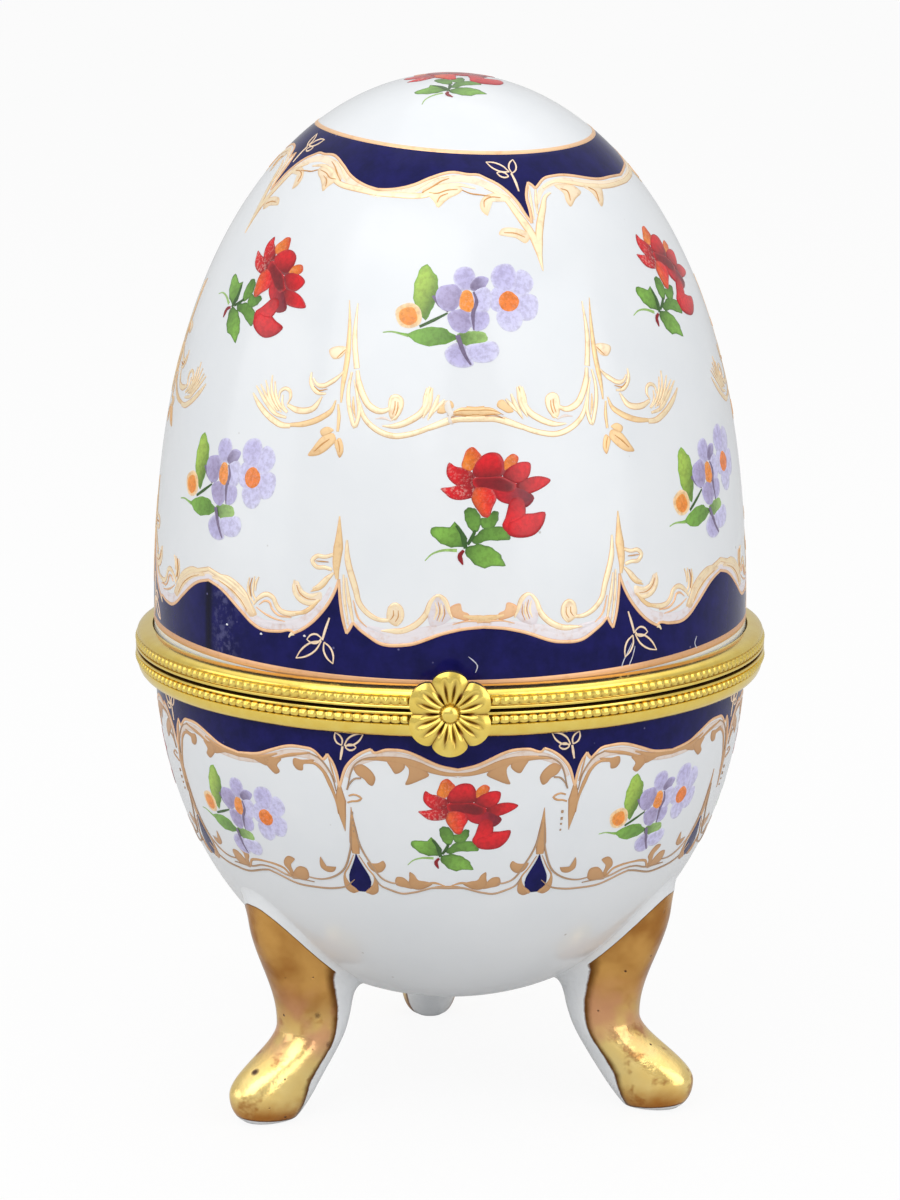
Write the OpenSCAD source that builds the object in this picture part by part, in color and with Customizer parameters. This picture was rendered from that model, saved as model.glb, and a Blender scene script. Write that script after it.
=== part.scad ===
// Egg-shaped porcelain trinket box on three cabriole legs, with a hinged lid in brass bezels.
// Millimetres, +Z up, origin on the table under the egg's axis, clasp towards -Y, hinge towards +Y.

/* [Egg] */
// Outside diameter of the porcelain at the rim
egg_d = 66; // [54:0.5:80]
// Height of the parting line above the table
rim_z = 51.2; // [48:0.1:58]
// Height of the egg's crown above the parting line
lid_h = 62.8; // [50:0.1:80]
// Depth of the bowl below the parting line
bowl_h = 40.1; // [33:0.1:42]
// Thickness of the porcelain wall
wall = 2.6; // [2:0.1:3.6]
// Fullness of the lid's shoulder, 2 being a plain ellipse
lid_fullness = 2.45; // [2:0.05:3]
// Fullness of the bowl's outline at the widest part
bowl_fullness = 2.2; // [2:0.05:2.6]

/* [Bezels] */
// How far the brass bands stand out from the porcelain
band_reach = 2; // [1.4:0.1:3]
// Height of the lid's band above the parting line
lid_band_h = 2.4; // [2.2:0.1:3.5]
// Height of the bowl's band below the parting line
bowl_band_h = 3.1; // [2.2:0.1:4]
// Height of the bands' inner lip from the parting line
lip_h = 2.4; // [1.6:0.1:4]
// Thickness of the brass strip
strip_t = 0.5; // [0.4:0.05:0.8]
// Open line between the two bands
rim_gap = 0.4; // [0.3:0.05:0.8]
// Plain edge between the parting line and the beading
band_edge = 0.3; // [0.2:0.05:0.5]
// Height of the beaded wire
bead_h = 1; // [0.6:0.05:1.1]
// Depth of the groove that holds the beaded wire
bead_seat = 0.5; // [0.3:0.05:0.6]
// Rounding of the bands' outer rims
rim_rounding = 0.25; // [0.15:0.05:0.3]
// Fall of the lid's ledge below the top of its band
ledge_fall = 0.25; // [0.1:0.05:0.35]
// Number of beads round each band
bead_count = 216; // [60:2:240]
// Depth of the notch between two beads
bead_notch = 0.18; // [0.1:0.01:0.25]
// Thickness of the cement that beds the porcelain in its band
cement_t = 0.3; // [0.2:0.05:0.6]

/* [Hinge] */
// Length of the hinge along its pin
hinge_w = 12; // [9:0.5:16]
// Length of the middle knuckle
knuckle_mid = 4; // [3:0.25:6]
// Outside diameter of the knuckles
knuckle_d = 2.2; // [2:0.1:2.7]
// Diameter of the hinge pin
pin_d = 1.1; // [0.9:0.05:1.2]
// Thickness of a hinge leaf outside its band
leaf_t = 0.6; // [0.5:0.05:0.9]
// Thickness of the pin's riveted ends
pin_head_t = 0.35; // [0.2:0.05:0.6]

/* [Clasp] */
// Diameter of the flower on the clasp
rosette_d = 9; // [8.5:0.1:11]
// Number of petals on the flower
petal_count = 6; // [5:1:8]
// Thickness of the flower at its rim
rosette_t = 0.6; // [0.4:0.05:1]
// Rise of the petals above the rim
petal_rise = 0.6; // [0.4:0.05:1]
// Diameter of the flower's boss
boss_d = 2.3; // [2:0.1:3.2]
// Rise of the boss above the petals
boss_rise = 0.7; // [0.4:0.05:1.2]
// Ribs on each petal
rib_count = 3; // [2:1:4]
// Share of the flower's radius at the dips between its petals
petal_dip = 0.8; // [0.7:0.01:0.9]
// Rise of the ribs on the petals
rib_rise = 0.16; // [0.05:0.01:0.25]
// Width of the spring tongue behind the flower
tongue_w = 4; // [3.4:0.1:5]
// Thickness of the spring tongue
tongue_t = 0.5; // [0.4:0.05:0.7]
// Reach of the tongue above and below the parting line
tongue_reach = 2; // [1.9:0.05:2.6]
// Diameter of the catch stud that the tongue's prongs hold
stud_d = 0.86; // [0.6:0.02:0.9]

/* [Legs] */
// Turn of the three legs away from the clasp
leg_turn = 6; // [-10:0.1:10]
// Radius of the toe's tip from the egg's axis
toe_r = 29.4; // [28:0.1:31]
// Height of the toe's tip
toe_z = 3.3; // [2.8:0.1:4.5]
// Roll of the toe under to the sole
toe_roll = 2.6; // [1.5:0.1:3]
// Radius of the leg's outer face at the waist
waist_r = 22.8; // [21:0.1:24]
// Height of the waist
waist_z = 10; // [8:0.1:11]
// Height at which the knee meets the bowl
knee_z = 24.1; // [20:0.1:29]
// Stand of the knee out of the bowl
knee_rise = 1.1; // [0.4:0.05:1.5]
// Radius of the leg's back at the bowl
back_r = 14.3; // [13:0.1:16]
// Height at which the leg's back turns out towards the heel
hip_z = 13; // [11:0.1:15]
// Bend of the leg's back, 1 being straight
heel_bend = 1.6; // [1.2:0.1:2.2]
// Radius of the heel on the table
heel_r = 21.6; // [20:0.1:23]
// Width of the leg at the knee
knee_w = 8.8; // [7:0.1:11]
// Width of the leg at the waist
waist_w = 7.4; // [6:0.1:9]
// Width of the foot
foot_w = 6.6; // [5.5:0.1:9]
// Share of the toe's roll taken off each side of the sole
sole_narrowing = 0.6; // [0.3:0.05:0.8]
// Squareness of the leg's section, 2 being an ellipse
leg_square = 2.2; // [2:0.1:3]

/* [Fits] */
// Gap between the porcelain and the walls of its band
band_fit = 0.1; // [0.05:0.01:0.2]
// Gap round the beading, the hinge leaves, the tongue and the stud in the bands' grooves
seat_fit = 0.03; // [0.02:0.01:0.06]
// Radial gap round the pin in the fixed knuckles
pin_fit = 0.02; // [0.01:0.01:0.03]
// Radial gap round the pin in the turning knuckle
pin_run = 0.05; // [0.03:0.01:0.08]
// Gap between pieces that turn past each other at the hinge
turn_gap = 0.15; // [0.1:0.01:0.25]
// Gap between the catch stud and the prongs
prong_gap = 0.12; // [0.08:0.01:0.2]
// Gap between a leg and the bowl
leg_fit = 0.12; // [0.1:0.01:0.2]

/* [Hidden] */
$fn = 96;

porcelain = "white";
gilding = "goldenrod";
brass = "gold";
cement = "gainsboro";

// The porcelain's edges lie this far above and below the parting line
egg_r = egg_d / 2;
half_gap = rim_gap / 2;
flange_top = half_gap + strip_t;
edge_up = flange_top + cement_t;
lid_rise = lid_h - edge_up;
bowl_drop = bowl_h - edge_up;
lid_squareness = 2;
bowl_squareness = 2.05;
outline_steps = 48;

// Radii and heights of the bands, measured from the axis and the parting line
band_r = egg_r + band_reach;
bead_r = band_r - bead_seat;
seated_r = bead_r + seat_fit;
bead_z = half_gap + band_edge;
shoulder_z = bead_z + bead_h;
lip_out_r = egg_r - wall - band_fit;
lip_in_r = lip_out_r - strip_t;
sleeve_r = egg_r + band_fit;

// The hinge's axis runs along X behind the bands
leaf_r = band_r + leaf_t;
hinge_y = band_r + knuckle_d / 2 + turn_gap;
leaf_top = shoulder_z + rim_rounding;
neck_z = knuckle_d * 0.42;
pin_l = hinge_w + 2 * (turn_gap + pin_head_t);
pin_head_d = (pin_d + knuckle_d) / 2;

// The clasp's plates lie in front of the bands
tongue_back = band_r + turn_gap;
tongue_front = tongue_back + tongue_t;
slot_w = stud_d + 2 * prong_gap;
stud_z = bead_z + bead_h / 2;

// Resolution of the legs and the flower
leg_sides = 26;
leg_rings = 20;
cap_rings = 4;
flower_sides = 16 * petal_count;
flower_rings = 6;
solve_steps = 30;
leg_angles = [-60 + leg_turn, 60 + leg_turn, 180 + leg_turn];

// Signed power, for superellipse sections
function spow(v, e) = sign(v) * pow(abs(v), e);
// Half-wave blend from a to b as s goes from 0 to 1
function blend(a, b, s) = a + (b - a) * (1 - cos(180 * max(0, min(1, s)))) / 2;
// Quarter superellipse from the rim to the pole: radius r, height h, exponents q across and p along
function quarter(r, h, q, p) =
    [for (i = [0 : outline_steps]) let (t = 90 * i / outline_steps)
        [r * pow(cos(t), 2 / q), h * pow(sin(t), 2 / p)]];
function reversed(list) = [for (i = [len(list) - 1 : -1 : 0]) list[i]];
// Radius of the bowl's outside at height z above the table
function bowl_r(z) =
    let (v = max(0, min(1, (rim_z - edge_up - z) / bowl_drop)))
    egg_r * pow(1 - pow(v, bowl_squareness), 1 / bowl_fullness);

// Hollow half egg: an outer and an inner outline turned about the axis
module half_egg(drop, squareness, fullness) {
    outer = quarter(egg_r, drop, squareness, fullness);
    inner = quarter(egg_r - wall, drop - wall, squareness, fullness);
    rotate_extrude()
        polygon(concat(outer, reversed(inner)));
}

module lid_shell() {
    color(porcelain)
        translate([0, 0, rim_z + edge_up])
            half_egg(lid_rise, lid_squareness, lid_fullness);
}

module base_bowl() {
    color(porcelain)
        translate([0, 0, rim_z - edge_up])
            mirror([0, 0, 1])
                half_egg(bowl_drop, bowl_fullness, bowl_squareness);
}

// Outer face, back and half width of a leg at height z, in the leg's own radial plane
knee_r = bowl_r(knee_z) + knee_rise;
function toe_turn(z) = 1 - sqrt(max(0, 1 - pow(max(0, 1 - z / toe_z), 2)));
function leg_front(z) =
    z > waist_z ? blend(waist_r, knee_r, (z - waist_z) / (knee_z - waist_z))
    : blend(toe_r, waist_r, (z - toe_z) / (waist_z - toe_z)) - toe_roll * toe_turn(z);
function leg_rear(z) = back_r + (heel_r - back_r) * pow(max(0, 1 - z / hip_z), heel_bend);
function leg_w(z) =
    z > waist_z ? blend(waist_w, knee_w, (z - waist_z) / (knee_z - waist_z))
    : blend(foot_w, waist_w, (z - toe_z) / (waist_z - toe_z));
function leg_half_w(z) = leg_w(z) / 2 - sole_narrowing * toe_roll * toe_turn(z);
// Point of the leg's section at height z and angle a, 0 facing out from the egg
function leg_point(z, a) =
    let (mid = (leg_front(z) + leg_rear(z)) / 2, half = (leg_front(z) - leg_rear(z)) / 2)
    [mid + half * spow(cos(a), 2 / leg_square), leg_half_w(z) * spow(sin(a), 2 / leg_square), z];
// Height at which the line of the leg at angle a runs into the bowl, by halving the interval
function leg_meets(a, low, high, steps) =
    let (z = (low + high) / 2, p = leg_point(z, a))
    let (out = norm([p[0], p[1]]) > bowl_r(z) + leg_fit)
    steps == 0 ? z : leg_meets(a, out ? z : low, out ? high : z, steps - 1);
// Point on the bowl's skin at bearing b and height z
function on_bowl(b, z) = (bowl_r(z) + leg_fit) * [cos(b), sin(b), 0] + [0, 0, z];

// Cabriole leg: rings of its section from the sole up to the bowl, closed by a patch of the bowl
module leg(angle) {
    angles = [for (i = [0 : leg_sides - 1]) 360 * i / leg_sides];
    tops = [for (a = angles) leg_meets(a, rim_z - bowl_h, knee_z + 4 * knee_rise, solve_steps)];
    crest = [for (i = [0 : leg_sides - 1]) leg_point(tops[i], angles[i])];
    middle_z = (tops[0] + tops[leg_sides / 2]) / 2;
    body = [for (k = [0 : leg_rings], i = [0 : leg_sides - 1])
        leg_point(tops[i] * k / leg_rings, angles[i])];
    patch = [for (k = [1 : cap_rings - 1], i = [0 : leg_sides - 1])
        let (s = k / cap_rings, b = atan2(crest[i][1], crest[i][0]))
        on_bowl(b * (1 - s), crest[i][2] * (1 - s) + middle_z * s)];
    hub = len(body) + len(patch);
    last = leg_rings + cap_rings - 1;
    walls = [for (k = [0 : last - 1], i = [0 : leg_sides - 1])
        let (j = (i + 1) % leg_sides, b = k * leg_sides, t = b + leg_sides)
        each [[b + i, t + i, t + j], [b + i, t + j, b + j]]];
    crown = [for (i = [0 : leg_sides - 1])
        [last * leg_sides + i, hub, last * leg_sides + (i + 1) % leg_sides]];
    sole = [[for (i = [0 : leg_sides - 1]) i]];
    color(gilding)
        rotate([0, 0, angle - 90])
            polyhedron(concat(body, patch, [on_bowl(0, middle_z)]), concat(sole, walls, crown));
}

module leg_front_left() { leg(leg_angles[0]); }
module leg_front_right() { leg(leg_angles[1]); }
module leg_back() { leg(leg_angles[2]); }

// Turn a piece made above the parting line, or its mirror image below it, into place
module at_rim(side) {
    translate([0, 0, rim_z])
        mirror([0, 0, side < 0 ? 1 : 0])
            children();
}

// Ring of cement between the band's flange and the porcelain's edge
module cement_ring(side) {
    color(cement)
        at_rim(side)
            rotate_extrude()
                translate([lip_out_r, flange_top])
                    square([sleeve_r - lip_out_r, cement_t]);
}

module lid_cement() { cement_ring(1); }
module base_cement() { cement_ring(-1); }

// Channel h high for the porcelain's edge: inner lip, flange, grooved outer wall and shoulder
function channel(shoulder, h) = concat(
    [[lip_in_r, half_gap], [band_r, half_gap], [band_r, bead_z], [bead_r, bead_z],
     [bead_r, shoulder_z], [band_r - rim_rounding, shoulder_z]],
    shoulder,
    [[sleeve_r, h], [sleeve_r, flange_top], [lip_out_r, flange_top],
     [lip_out_r, lip_h], [lip_in_r, lip_h]]);

// The lid's band ends in a flat ledge with a rounded rim
ledge = [for (a = [0 : 30 : 90])
    [band_r - 2 * rim_rounding + rim_rounding * cos(a),
     lid_band_h - ledge_fall - rim_rounding + rim_rounding * sin(a)]];
// The bowl's band runs in to the porcelain on a convex curve
roll = [for (a = [15 : 15 : 90])
    [sleeve_r + strip_t + (band_r - rim_rounding - sleeve_r - strip_t) * cos(a),
     shoulder_z + (bowl_band_h - shoulder_z) * sin(a)]];

module bezel(side, shoulder, h) {
    color(brass)
        at_rim(side)
            rotate_extrude()
                polygon(channel(shoulder, h));
}

module lid_bezel() { bezel(1, ledge, lid_band_h); }
module base_bezel() { bezel(-1, roll, bowl_band_h); }

// Beaded wire in the band's groove, parted at the hinge and at the clasp
module beading(side) {
    points_a_bead = 4;
    turns = bead_count * points_a_bead;
    rim = [for (i = [0 : turns - 1]) let (a = 360 * i / turns)
        (band_r + bead_notch - bead_notch * (1 - abs(cos(bead_count * a / 2)))) * [cos(a), sin(a)]];
    color(brass)
        at_rim(side)
            translate([0, 0, bead_z + seat_fit])
                difference() {
                    linear_extrude(bead_h - 2 * seat_fit)
                        polygon(rim);
                    translate([0, 0, -bead_h])
                        cylinder(r = seated_r, h = 3 * bead_h, $fn = 2 * bead_count);
                    translate([-hinge_w / 2 - seat_fit, 0, -bead_h])
                        cube([hinge_w + 2 * seat_fit, 2 * band_r, 3 * bead_h]);
                    translate([-tongue_w / 2 - seat_fit, -2 * band_r, -bead_h])
                        cube([tongue_w + 2 * seat_fit, 2 * band_r, 3 * bead_h]);
                }
}

module lid_beading() { beading(1); }
module base_beading() { beading(-1); }

// Cylinder along the hinge's axis between two places on X
module along_pin(x0, x1, r) {
    translate([x0, hinge_y, 0])
        rotate([0, 90, 0])
            cylinder(r = r, h = x1 - x0);
}

// Knuckle with the neck that joins it to its leaf
module knuckle(x0, x1) {
    along_pin(x0, x1, knuckle_d / 2);
    translate([x0, band_r + turn_gap, half_gap])
        cube([x1 - x0, knuckle_d / 2, neck_z - half_gap]);
}

// Leaf soldered into the band's groove, with clearance for the other leaf's knuckles
module hinge_leaf(side, own, other, bore) {
    leaf_back = band_r + seat_fit;
    root_low = bead_z + seat_fit;
    root_high = shoulder_z - seat_fit;
    section = [[seated_r, root_low], [leaf_back, root_low], [leaf_back, half_gap], [leaf_r, half_gap],
               [leaf_r, leaf_top], [leaf_back, leaf_top], [leaf_back, root_high], [seated_r, root_high]];
    color(brass)
        at_rim(side)
            difference() {
                union() {
                    intersection() {
                        rotate_extrude()
                            polygon(section);
                        translate([-hinge_w / 2, 0, 0])
                            cube([hinge_w, 2 * band_r, 2 * leaf_top]);
                    }
                    for (span = own)
                        knuckle(span[0], span[1]);
                }
                for (span = other)
                    along_pin(span[0] - turn_gap, span[1] + turn_gap, knuckle_d / 2 + turn_gap);
                along_pin(-hinge_w, hinge_w, pin_d / 2 + bore);
            }
}

middle_span = [[-knuckle_mid / 2, knuckle_mid / 2]];
outer_spans = [for (s = [-1, 1])
    s < 0 ? [-hinge_w / 2, -knuckle_mid / 2 - turn_gap] : [knuckle_mid / 2 + turn_gap, hinge_w / 2]];

module lid_hinge_leaf() { hinge_leaf(1, middle_span, outer_spans, pin_run); }
module base_hinge_leaf() { hinge_leaf(-1, outer_spans, middle_span, pin_fit); }

// Pin with both ends riveted over
module hinge_pin() {
    color(brass)
        translate([0, 0, rim_z]) {
            along_pin(-pin_l / 2, pin_l / 2, pin_d / 2);
            along_pin(-pin_l / 2, -pin_l / 2 + pin_head_t, pin_head_d / 2);
            along_pin(pin_l / 2 - pin_head_t, pin_l / 2, pin_head_d / 2);
        }
}

// Outline and relief of the flower at angle a; u goes from 0 at its centre to 1 at its rim
valley_r = rosette_d / 2 * petal_dip;
function petal_wave(a) = abs(cos(petal_count * (a - 90) / 2));
function flower_r(a) = valley_r + (rosette_d / 2 - valley_r) * sqrt(petal_wave(a));
function flower_rise(u, a) =
    let (boss_u = boss_d / 2 / flower_r(a), swell = sin(180 * pow(u, 0.8)))
    u <= boss_u ? petal_rise + boss_rise * (1 - 0.45 * pow(u / boss_u, 2))
    : petal_rise * (0.35 + 0.65 * petal_wave(a)) * swell
      + rib_rise * swell * cos(2 * rib_count * petal_count * (a - 90) / 2);

// Six-petalled flower, its flat back against the tongue
module clasp_rosette() {
    angles = [for (i = [0 : flower_sides - 1]) 360 * i / flower_sides];
    front = [for (k = [1 : flower_rings], a = angles)
        let (u = k / flower_rings, r = u * flower_r(a))
        [r * cos(a), r * sin(a), rosette_t + flower_rise(u, a)]];
    back = [for (a = angles) flower_r(a) * [cos(a), sin(a), 0]];
    hub = len(front) + len(back);
    skin = [for (k = [0 : flower_rings - 1], i = [0 : flower_sides - 1])
        let (j = (i + 1) % flower_sides, b = k * flower_sides, t = b + flower_sides)
        each [[b + i, t + i, t + j], [b + i, t + j, b + j]]];
    crown = [for (i = [0 : flower_sides - 1]) [hub, i, (i + 1) % flower_sides]];
    plate = [[for (i = [1 : flower_sides]) hub - i]];
    color(brass)
        translate([0, -tongue_front, rim_z])
            rotate([90, 0, 0])
                polyhedron(concat(front, back, [[0, 0, rosette_t + petal_rise + boss_rise]]),
                           [for (face = concat(skin, crown, plate)) reversed(face)]);
}

// Spring tongue: soldered into the lid's groove, forked over the catch stud below
module clasp_tongue() {
    color(brass)
        translate([0, 0, rim_z])
            difference() {
                union() {
                    translate([-tongue_w / 2, -tongue_front, -tongue_reach])
                        cube([tongue_w, tongue_t, 2 * tongue_reach]);
                    translate([-tongue_w / 2, -tongue_front, bead_z + seat_fit])
                        cube([tongue_w, tongue_front - bead_r + bead_seat, bead_h - 2 * seat_fit]);
                }
                cylinder(r = seated_r, h = 2 * shoulder_z);
                translate([-slot_w / 2, -2 * tongue_front, -2 * tongue_reach])
                    cube([slot_w, 2 * tongue_front, 2 * tongue_reach - half_gap]);
            }
}

// Catch stud on the bowl's band, between the tongue's prongs
module catch_stud() {
    color(brass)
        translate([0, 0, rim_z - stud_z])
            difference() {
                rotate([90, 0, 0])
                    cylinder(d = stud_d, h = tongue_front - turn_gap);
                cylinder(r = seated_r, h = 2 * stud_d, center = true);
            }
}

lid_shell();
base_bowl();
leg_front_left();
leg_front_right();
leg_back();
lid_cement();
base_cement();
lid_bezel();
base_bezel();
lid_beading();
base_beading();
lid_hinge_leaf();
base_hinge_leaf();
hinge_pin();
clasp_rosette();
clasp_tongue();
catch_stud();
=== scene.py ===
import bpy
import math
import numpy as np
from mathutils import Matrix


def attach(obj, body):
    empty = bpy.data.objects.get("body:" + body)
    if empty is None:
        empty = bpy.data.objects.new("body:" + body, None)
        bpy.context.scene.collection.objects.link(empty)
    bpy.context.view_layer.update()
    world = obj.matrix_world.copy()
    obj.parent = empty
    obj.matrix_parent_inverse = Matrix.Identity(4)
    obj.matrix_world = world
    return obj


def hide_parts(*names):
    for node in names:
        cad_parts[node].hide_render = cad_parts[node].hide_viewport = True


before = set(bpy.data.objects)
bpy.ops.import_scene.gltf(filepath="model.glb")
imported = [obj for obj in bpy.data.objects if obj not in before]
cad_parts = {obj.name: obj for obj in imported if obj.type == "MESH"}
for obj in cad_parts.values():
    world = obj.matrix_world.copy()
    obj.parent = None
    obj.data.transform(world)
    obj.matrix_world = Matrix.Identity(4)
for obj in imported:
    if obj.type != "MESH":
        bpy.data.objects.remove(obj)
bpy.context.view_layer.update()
scene = bpy.context.scene
print("stage: frame loaded")


# sRGB bytes to the linear colour that the nodes take
def lin(r, g, b):
    c = np.array([r, g, b]) / 255
    return np.where(c <= 0.04045, c / 12.92, ((c + 0.055) / 1.055) ** 2.4)


# One output of a node tree; arithmetic on it adds Math nodes
class Sock:
    def __init__(self, tree, socket):
        self.tree, self.socket = tree, socket

    # Any node by its type, settings and socket values or links; gives one of its outputs
    def node(self, kind, settings=None, inputs=None, out=0):
        made = self.tree.nodes.new(kind)
        for key, value in (settings or {}).items():
            setattr(made, key, value)
        for key, value in (inputs or {}).items():
            port = made.inputs[key]
            if isinstance(value, Sock):
                self.tree.links.new(value.socket, port)
            elif port.type == "RGBA":
                port.default_value = [*value, 1.0][:4]
            else:
                port.default_value = value
        return Sock(self.tree, made.outputs[out])

    def math(self, operation, first, second=0.0):
        return self.node("ShaderNodeMath", {"operation": operation}, {0: first, 1: second})

    def __add__(self, other):
        return self.math("ADD", self, other)

    def __radd__(self, other):
        return self.math("ADD", other, self)

    def __sub__(self, other):
        return self.math("SUBTRACT", self, other)

    def __rsub__(self, other):
        return self.math("SUBTRACT", other, self)

    def __mul__(self, other):
        return self.math("MULTIPLY", self, other)

    def __rmul__(self, other):
        return self.math("MULTIPLY", other, self)

    # Rises smoothly from 0 to 1 about a level
    def above(self, level, soft):
        return self.node("ShaderNodeMapRange", {"interpolation_type": "SMOOTHSTEP"},
                         {"Value": self, "From Min": level - soft, "From Max": level + soft})

    # Two colours mixed by this factor
    def mixed(self, first, second):
        return self.node("ShaderNodeMix", {"data_type": "RGBA"}, {0: self, 6: first, 7: second}, 2)


# A material with its Principled node; start is a handle for adding nodes
class Finish:
    def __init__(self, name, constants=None):
        self.material = bpy.data.materials.new(name)
        self.material.use_nodes = True
        self.tree = self.material.node_tree
        self.shader = self.tree.nodes["Principled BSDF"]
        self.start = Sock(self.tree, None)
        for key, value in (constants or {}).items():
            self.shader.inputs[key].default_value = value
        self.place = self.start.node("ShaderNodeTexCoord", out=3)

    # Noise whose clouds are about size mm across
    def noise(self, size, detail=3.0, rough=0.5):
        return self.start.node("ShaderNodeTexNoise", None, {
            "Vector": self.place, "Scale": 1000.0 / size, "Detail": detail, "Roughness": rough})

    # Dots in cells of size mm: the share of cells that have one, and its radius in cells
    def dots(self, size, share, radius):
        cells = self.start.node("ShaderNodeTexVoronoi", None, {"Vector": self.place, "Scale": 1000.0 / size})
        chance = Sock(self.tree, cells.socket.node.outputs["Color"])
        pick = cells.node("ShaderNodeSeparateColor", None, {0: chance})
        return (1 - cells.above(radius, radius * 0.4)) * pick.above(1 - share, 0.01)

    def attribute(self, name, out=0):
        return self.start.node("ShaderNodeAttribute", {"attribute_name": name}, out=out)

    def feed(self, key, value):
        self.tree.links.new(value.socket, self.shader.inputs[key])

    # Bumps of a depth in mm
    def bump(self, height, depth):
        bumps = height.node("ShaderNodeBump", None, {"Height": height, "Distance": depth * 0.001})
        self.feed("Normal", bumps)


# Porcelain: cool white glaze with slow changes of tone and a few pin specks
porcelain = Finish("porcelainGlaze", {"IOR": 1.5})
tone = porcelain.noise(9.0, 4.0)
white = tone.mixed(lin(222, 226, 230), lin(233, 235, 237))
porcelain.feed("Base Color", (porcelain.dots(3.1, 0.10, 0.05) * 0.55).mixed(white, lin(150, 140, 128)))
porcelain.feed("Roughness", 0.13 + 0.08 * porcelain.noise(2.2))
porcelain.bump(porcelain.noise(3.5, 2.0), 0.02)

# Cobalt ground: deep blue with a violet cast and faint brushed clouds
cobalt = Finish("cobaltGround", {"IOR": 1.45, "Specular IOR Level": 0.14})
cloud = cobalt.noise(2.4, 6.0, 0.65)
blue = cloud.above(0.5, 0.3).mixed(lin(15, 17, 66), lin(27, 26, 94))
mottle = cobalt.noise(0.9, 4.0, 0.6).above(0.54, 0.08)
blue = (cobalt.attribute("thin", 2) * mottle * 0.7).mixed(blue, lin(84, 84, 128))
blue = (cobalt.attribute("overlap", 2) * 0.9).mixed(blue, lin(6, 6, 30))
cobalt.feed("Base Color", (cobalt.dots(1.7, 0.16, 0.07) * 0.6).mixed(blue, lin(120, 118, 165)))
cobalt.feed("Roughness", 0.10 + 0.10 * cobalt.noise(1.5))
cobalt.bump(cobalt.noise(1.2, 3.0), 0.01)

# Transfer gilding: gold leaf colour from the piece's tint, rubbed thin in places
gilding = Finish("transferGilding", {"IOR": 1.5})
rub = gilding.noise(0.9, 4.0, 0.6)
tint = gilding.attribute("tint")
gilding.feed("Base Color", (rub.above(0.62, 0.14) * 0.4).mixed(tint, lin(196, 142, 92)))
gilding.feed("Metallic", gilding.attribute("gilt", 2) * (0.6 - 0.25 * rub))
gilding.feed("Roughness", 0.26 + 0.16 * rub)
gilding.bump(rub, 0.01)

# Enamel of the flower sprays: tint from the piece, stippled darker, flecked pale where speck is high
enamel = Finish("sprayEnamel", {"IOR": 1.48})
grain = enamel.noise(0.3, 3.0, 0.7)
tint = enamel.attribute("tint")
deeper = tint.node("ShaderNodeVectorMath", {"operation": "MULTIPLY"}, {0: tint, 1: (0.5, 0.45, 0.5)})
paint = (enamel.noise(0.5, 3.0, 0.65).above(0.52, 0.14) * 0.45).mixed(tint, deeper)
fleck = grain.above(0.56, 0.05) * enamel.attribute("speck", 2)
enamel.feed("Base Color", fleck.mixed(paint, lin(255, 228, 214)))
enamel.feed("Roughness", 0.12 + 0.12 * grain)
enamel.bump(grain, 0.004)

# Brass of the bands, hinge and clasp: yellow, painted dark brown as shade where the shade mask is high
brass = Finish("polishedBrass", {"IOR": 1.5})
wear = brass.noise(1.6, 5.0, 0.65)
# Mask of painted shade: grooves, the gap between the bands, between and under the beads, the rosette's
# hollows
paintedShade = brass.attribute("paintedShade", 2)
clean = wear.mixed(lin(240, 200, 78), lin(254, 234, 134))
brass.feed("Base Color", (paintedShade * (0.75 + 0.5 * wear)).mixed(clean, lin(104, 52, 12)))
brass.feed("Metallic", 1 - 0.25 * paintedShade)
brass.feed("Roughness", 0.12 + 0.12 * wear + 0.15 * paintedShade)
brass.bump(brass.noise(0.5, 3.0), 0.008)

# Burnished gold of the legs over porcelain, masked by the legs' gilt attribute, with painted light in its
# colour
legGold = Finish("burnishedLegs", {"IOR": 1.5})
speck = legGold.dots(1.5, 0.2, 0.1) + legGold.dots(4.3, 0.5, 0.11)
cover = (legGold.attribute("gilt", 2) + 0.16 * legGold.noise(1.4, 4.0, 0.7) - 0.08).above(0.5, 0.05)
edge = (legGold.attribute("gilt", 2) + 0.10 * legGold.noise(1.1, 3.0) - 0.05).above(0.70, 0.16)
thin = legGold.noise(3.2, 4.0)
height = legGold.start.node("ShaderNodeSeparateXYZ", None, {0: legGold.place}, 2) * 1000.0 + 3.0 * thin
patch = legGold.noise(5.5, 3.0).above(0.5, 0.16)
upper = patch.mixed(lin(172, 116, 56), lin(216, 164, 90))
# Painted light by height: the lower leg and toe bright as a painted reflection of the light above, the upper
# leg darker brown as painted shade
gold = height.above(12.5, 4.5).mixed(thin.mixed(lin(250, 206, 108), lin(255, 236, 168)), upper)
# Painted shade: the toe's underside darker
gold = height.above(3.6, 1.5).mixed(patch.mixed(lin(184, 122, 56), lin(232, 176, 92)), gold)
# Brown patches low on the leg: a painted reflection of darker surroundings
paintedDark = legGold.noise(2.6, 3.0, 0.6).above(0.6, 0.07) * (1 - height.above(14.0, 4.0))
gold = (0.75 * paintedDark).mixed(gold, lin(172, 108, 48))
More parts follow.
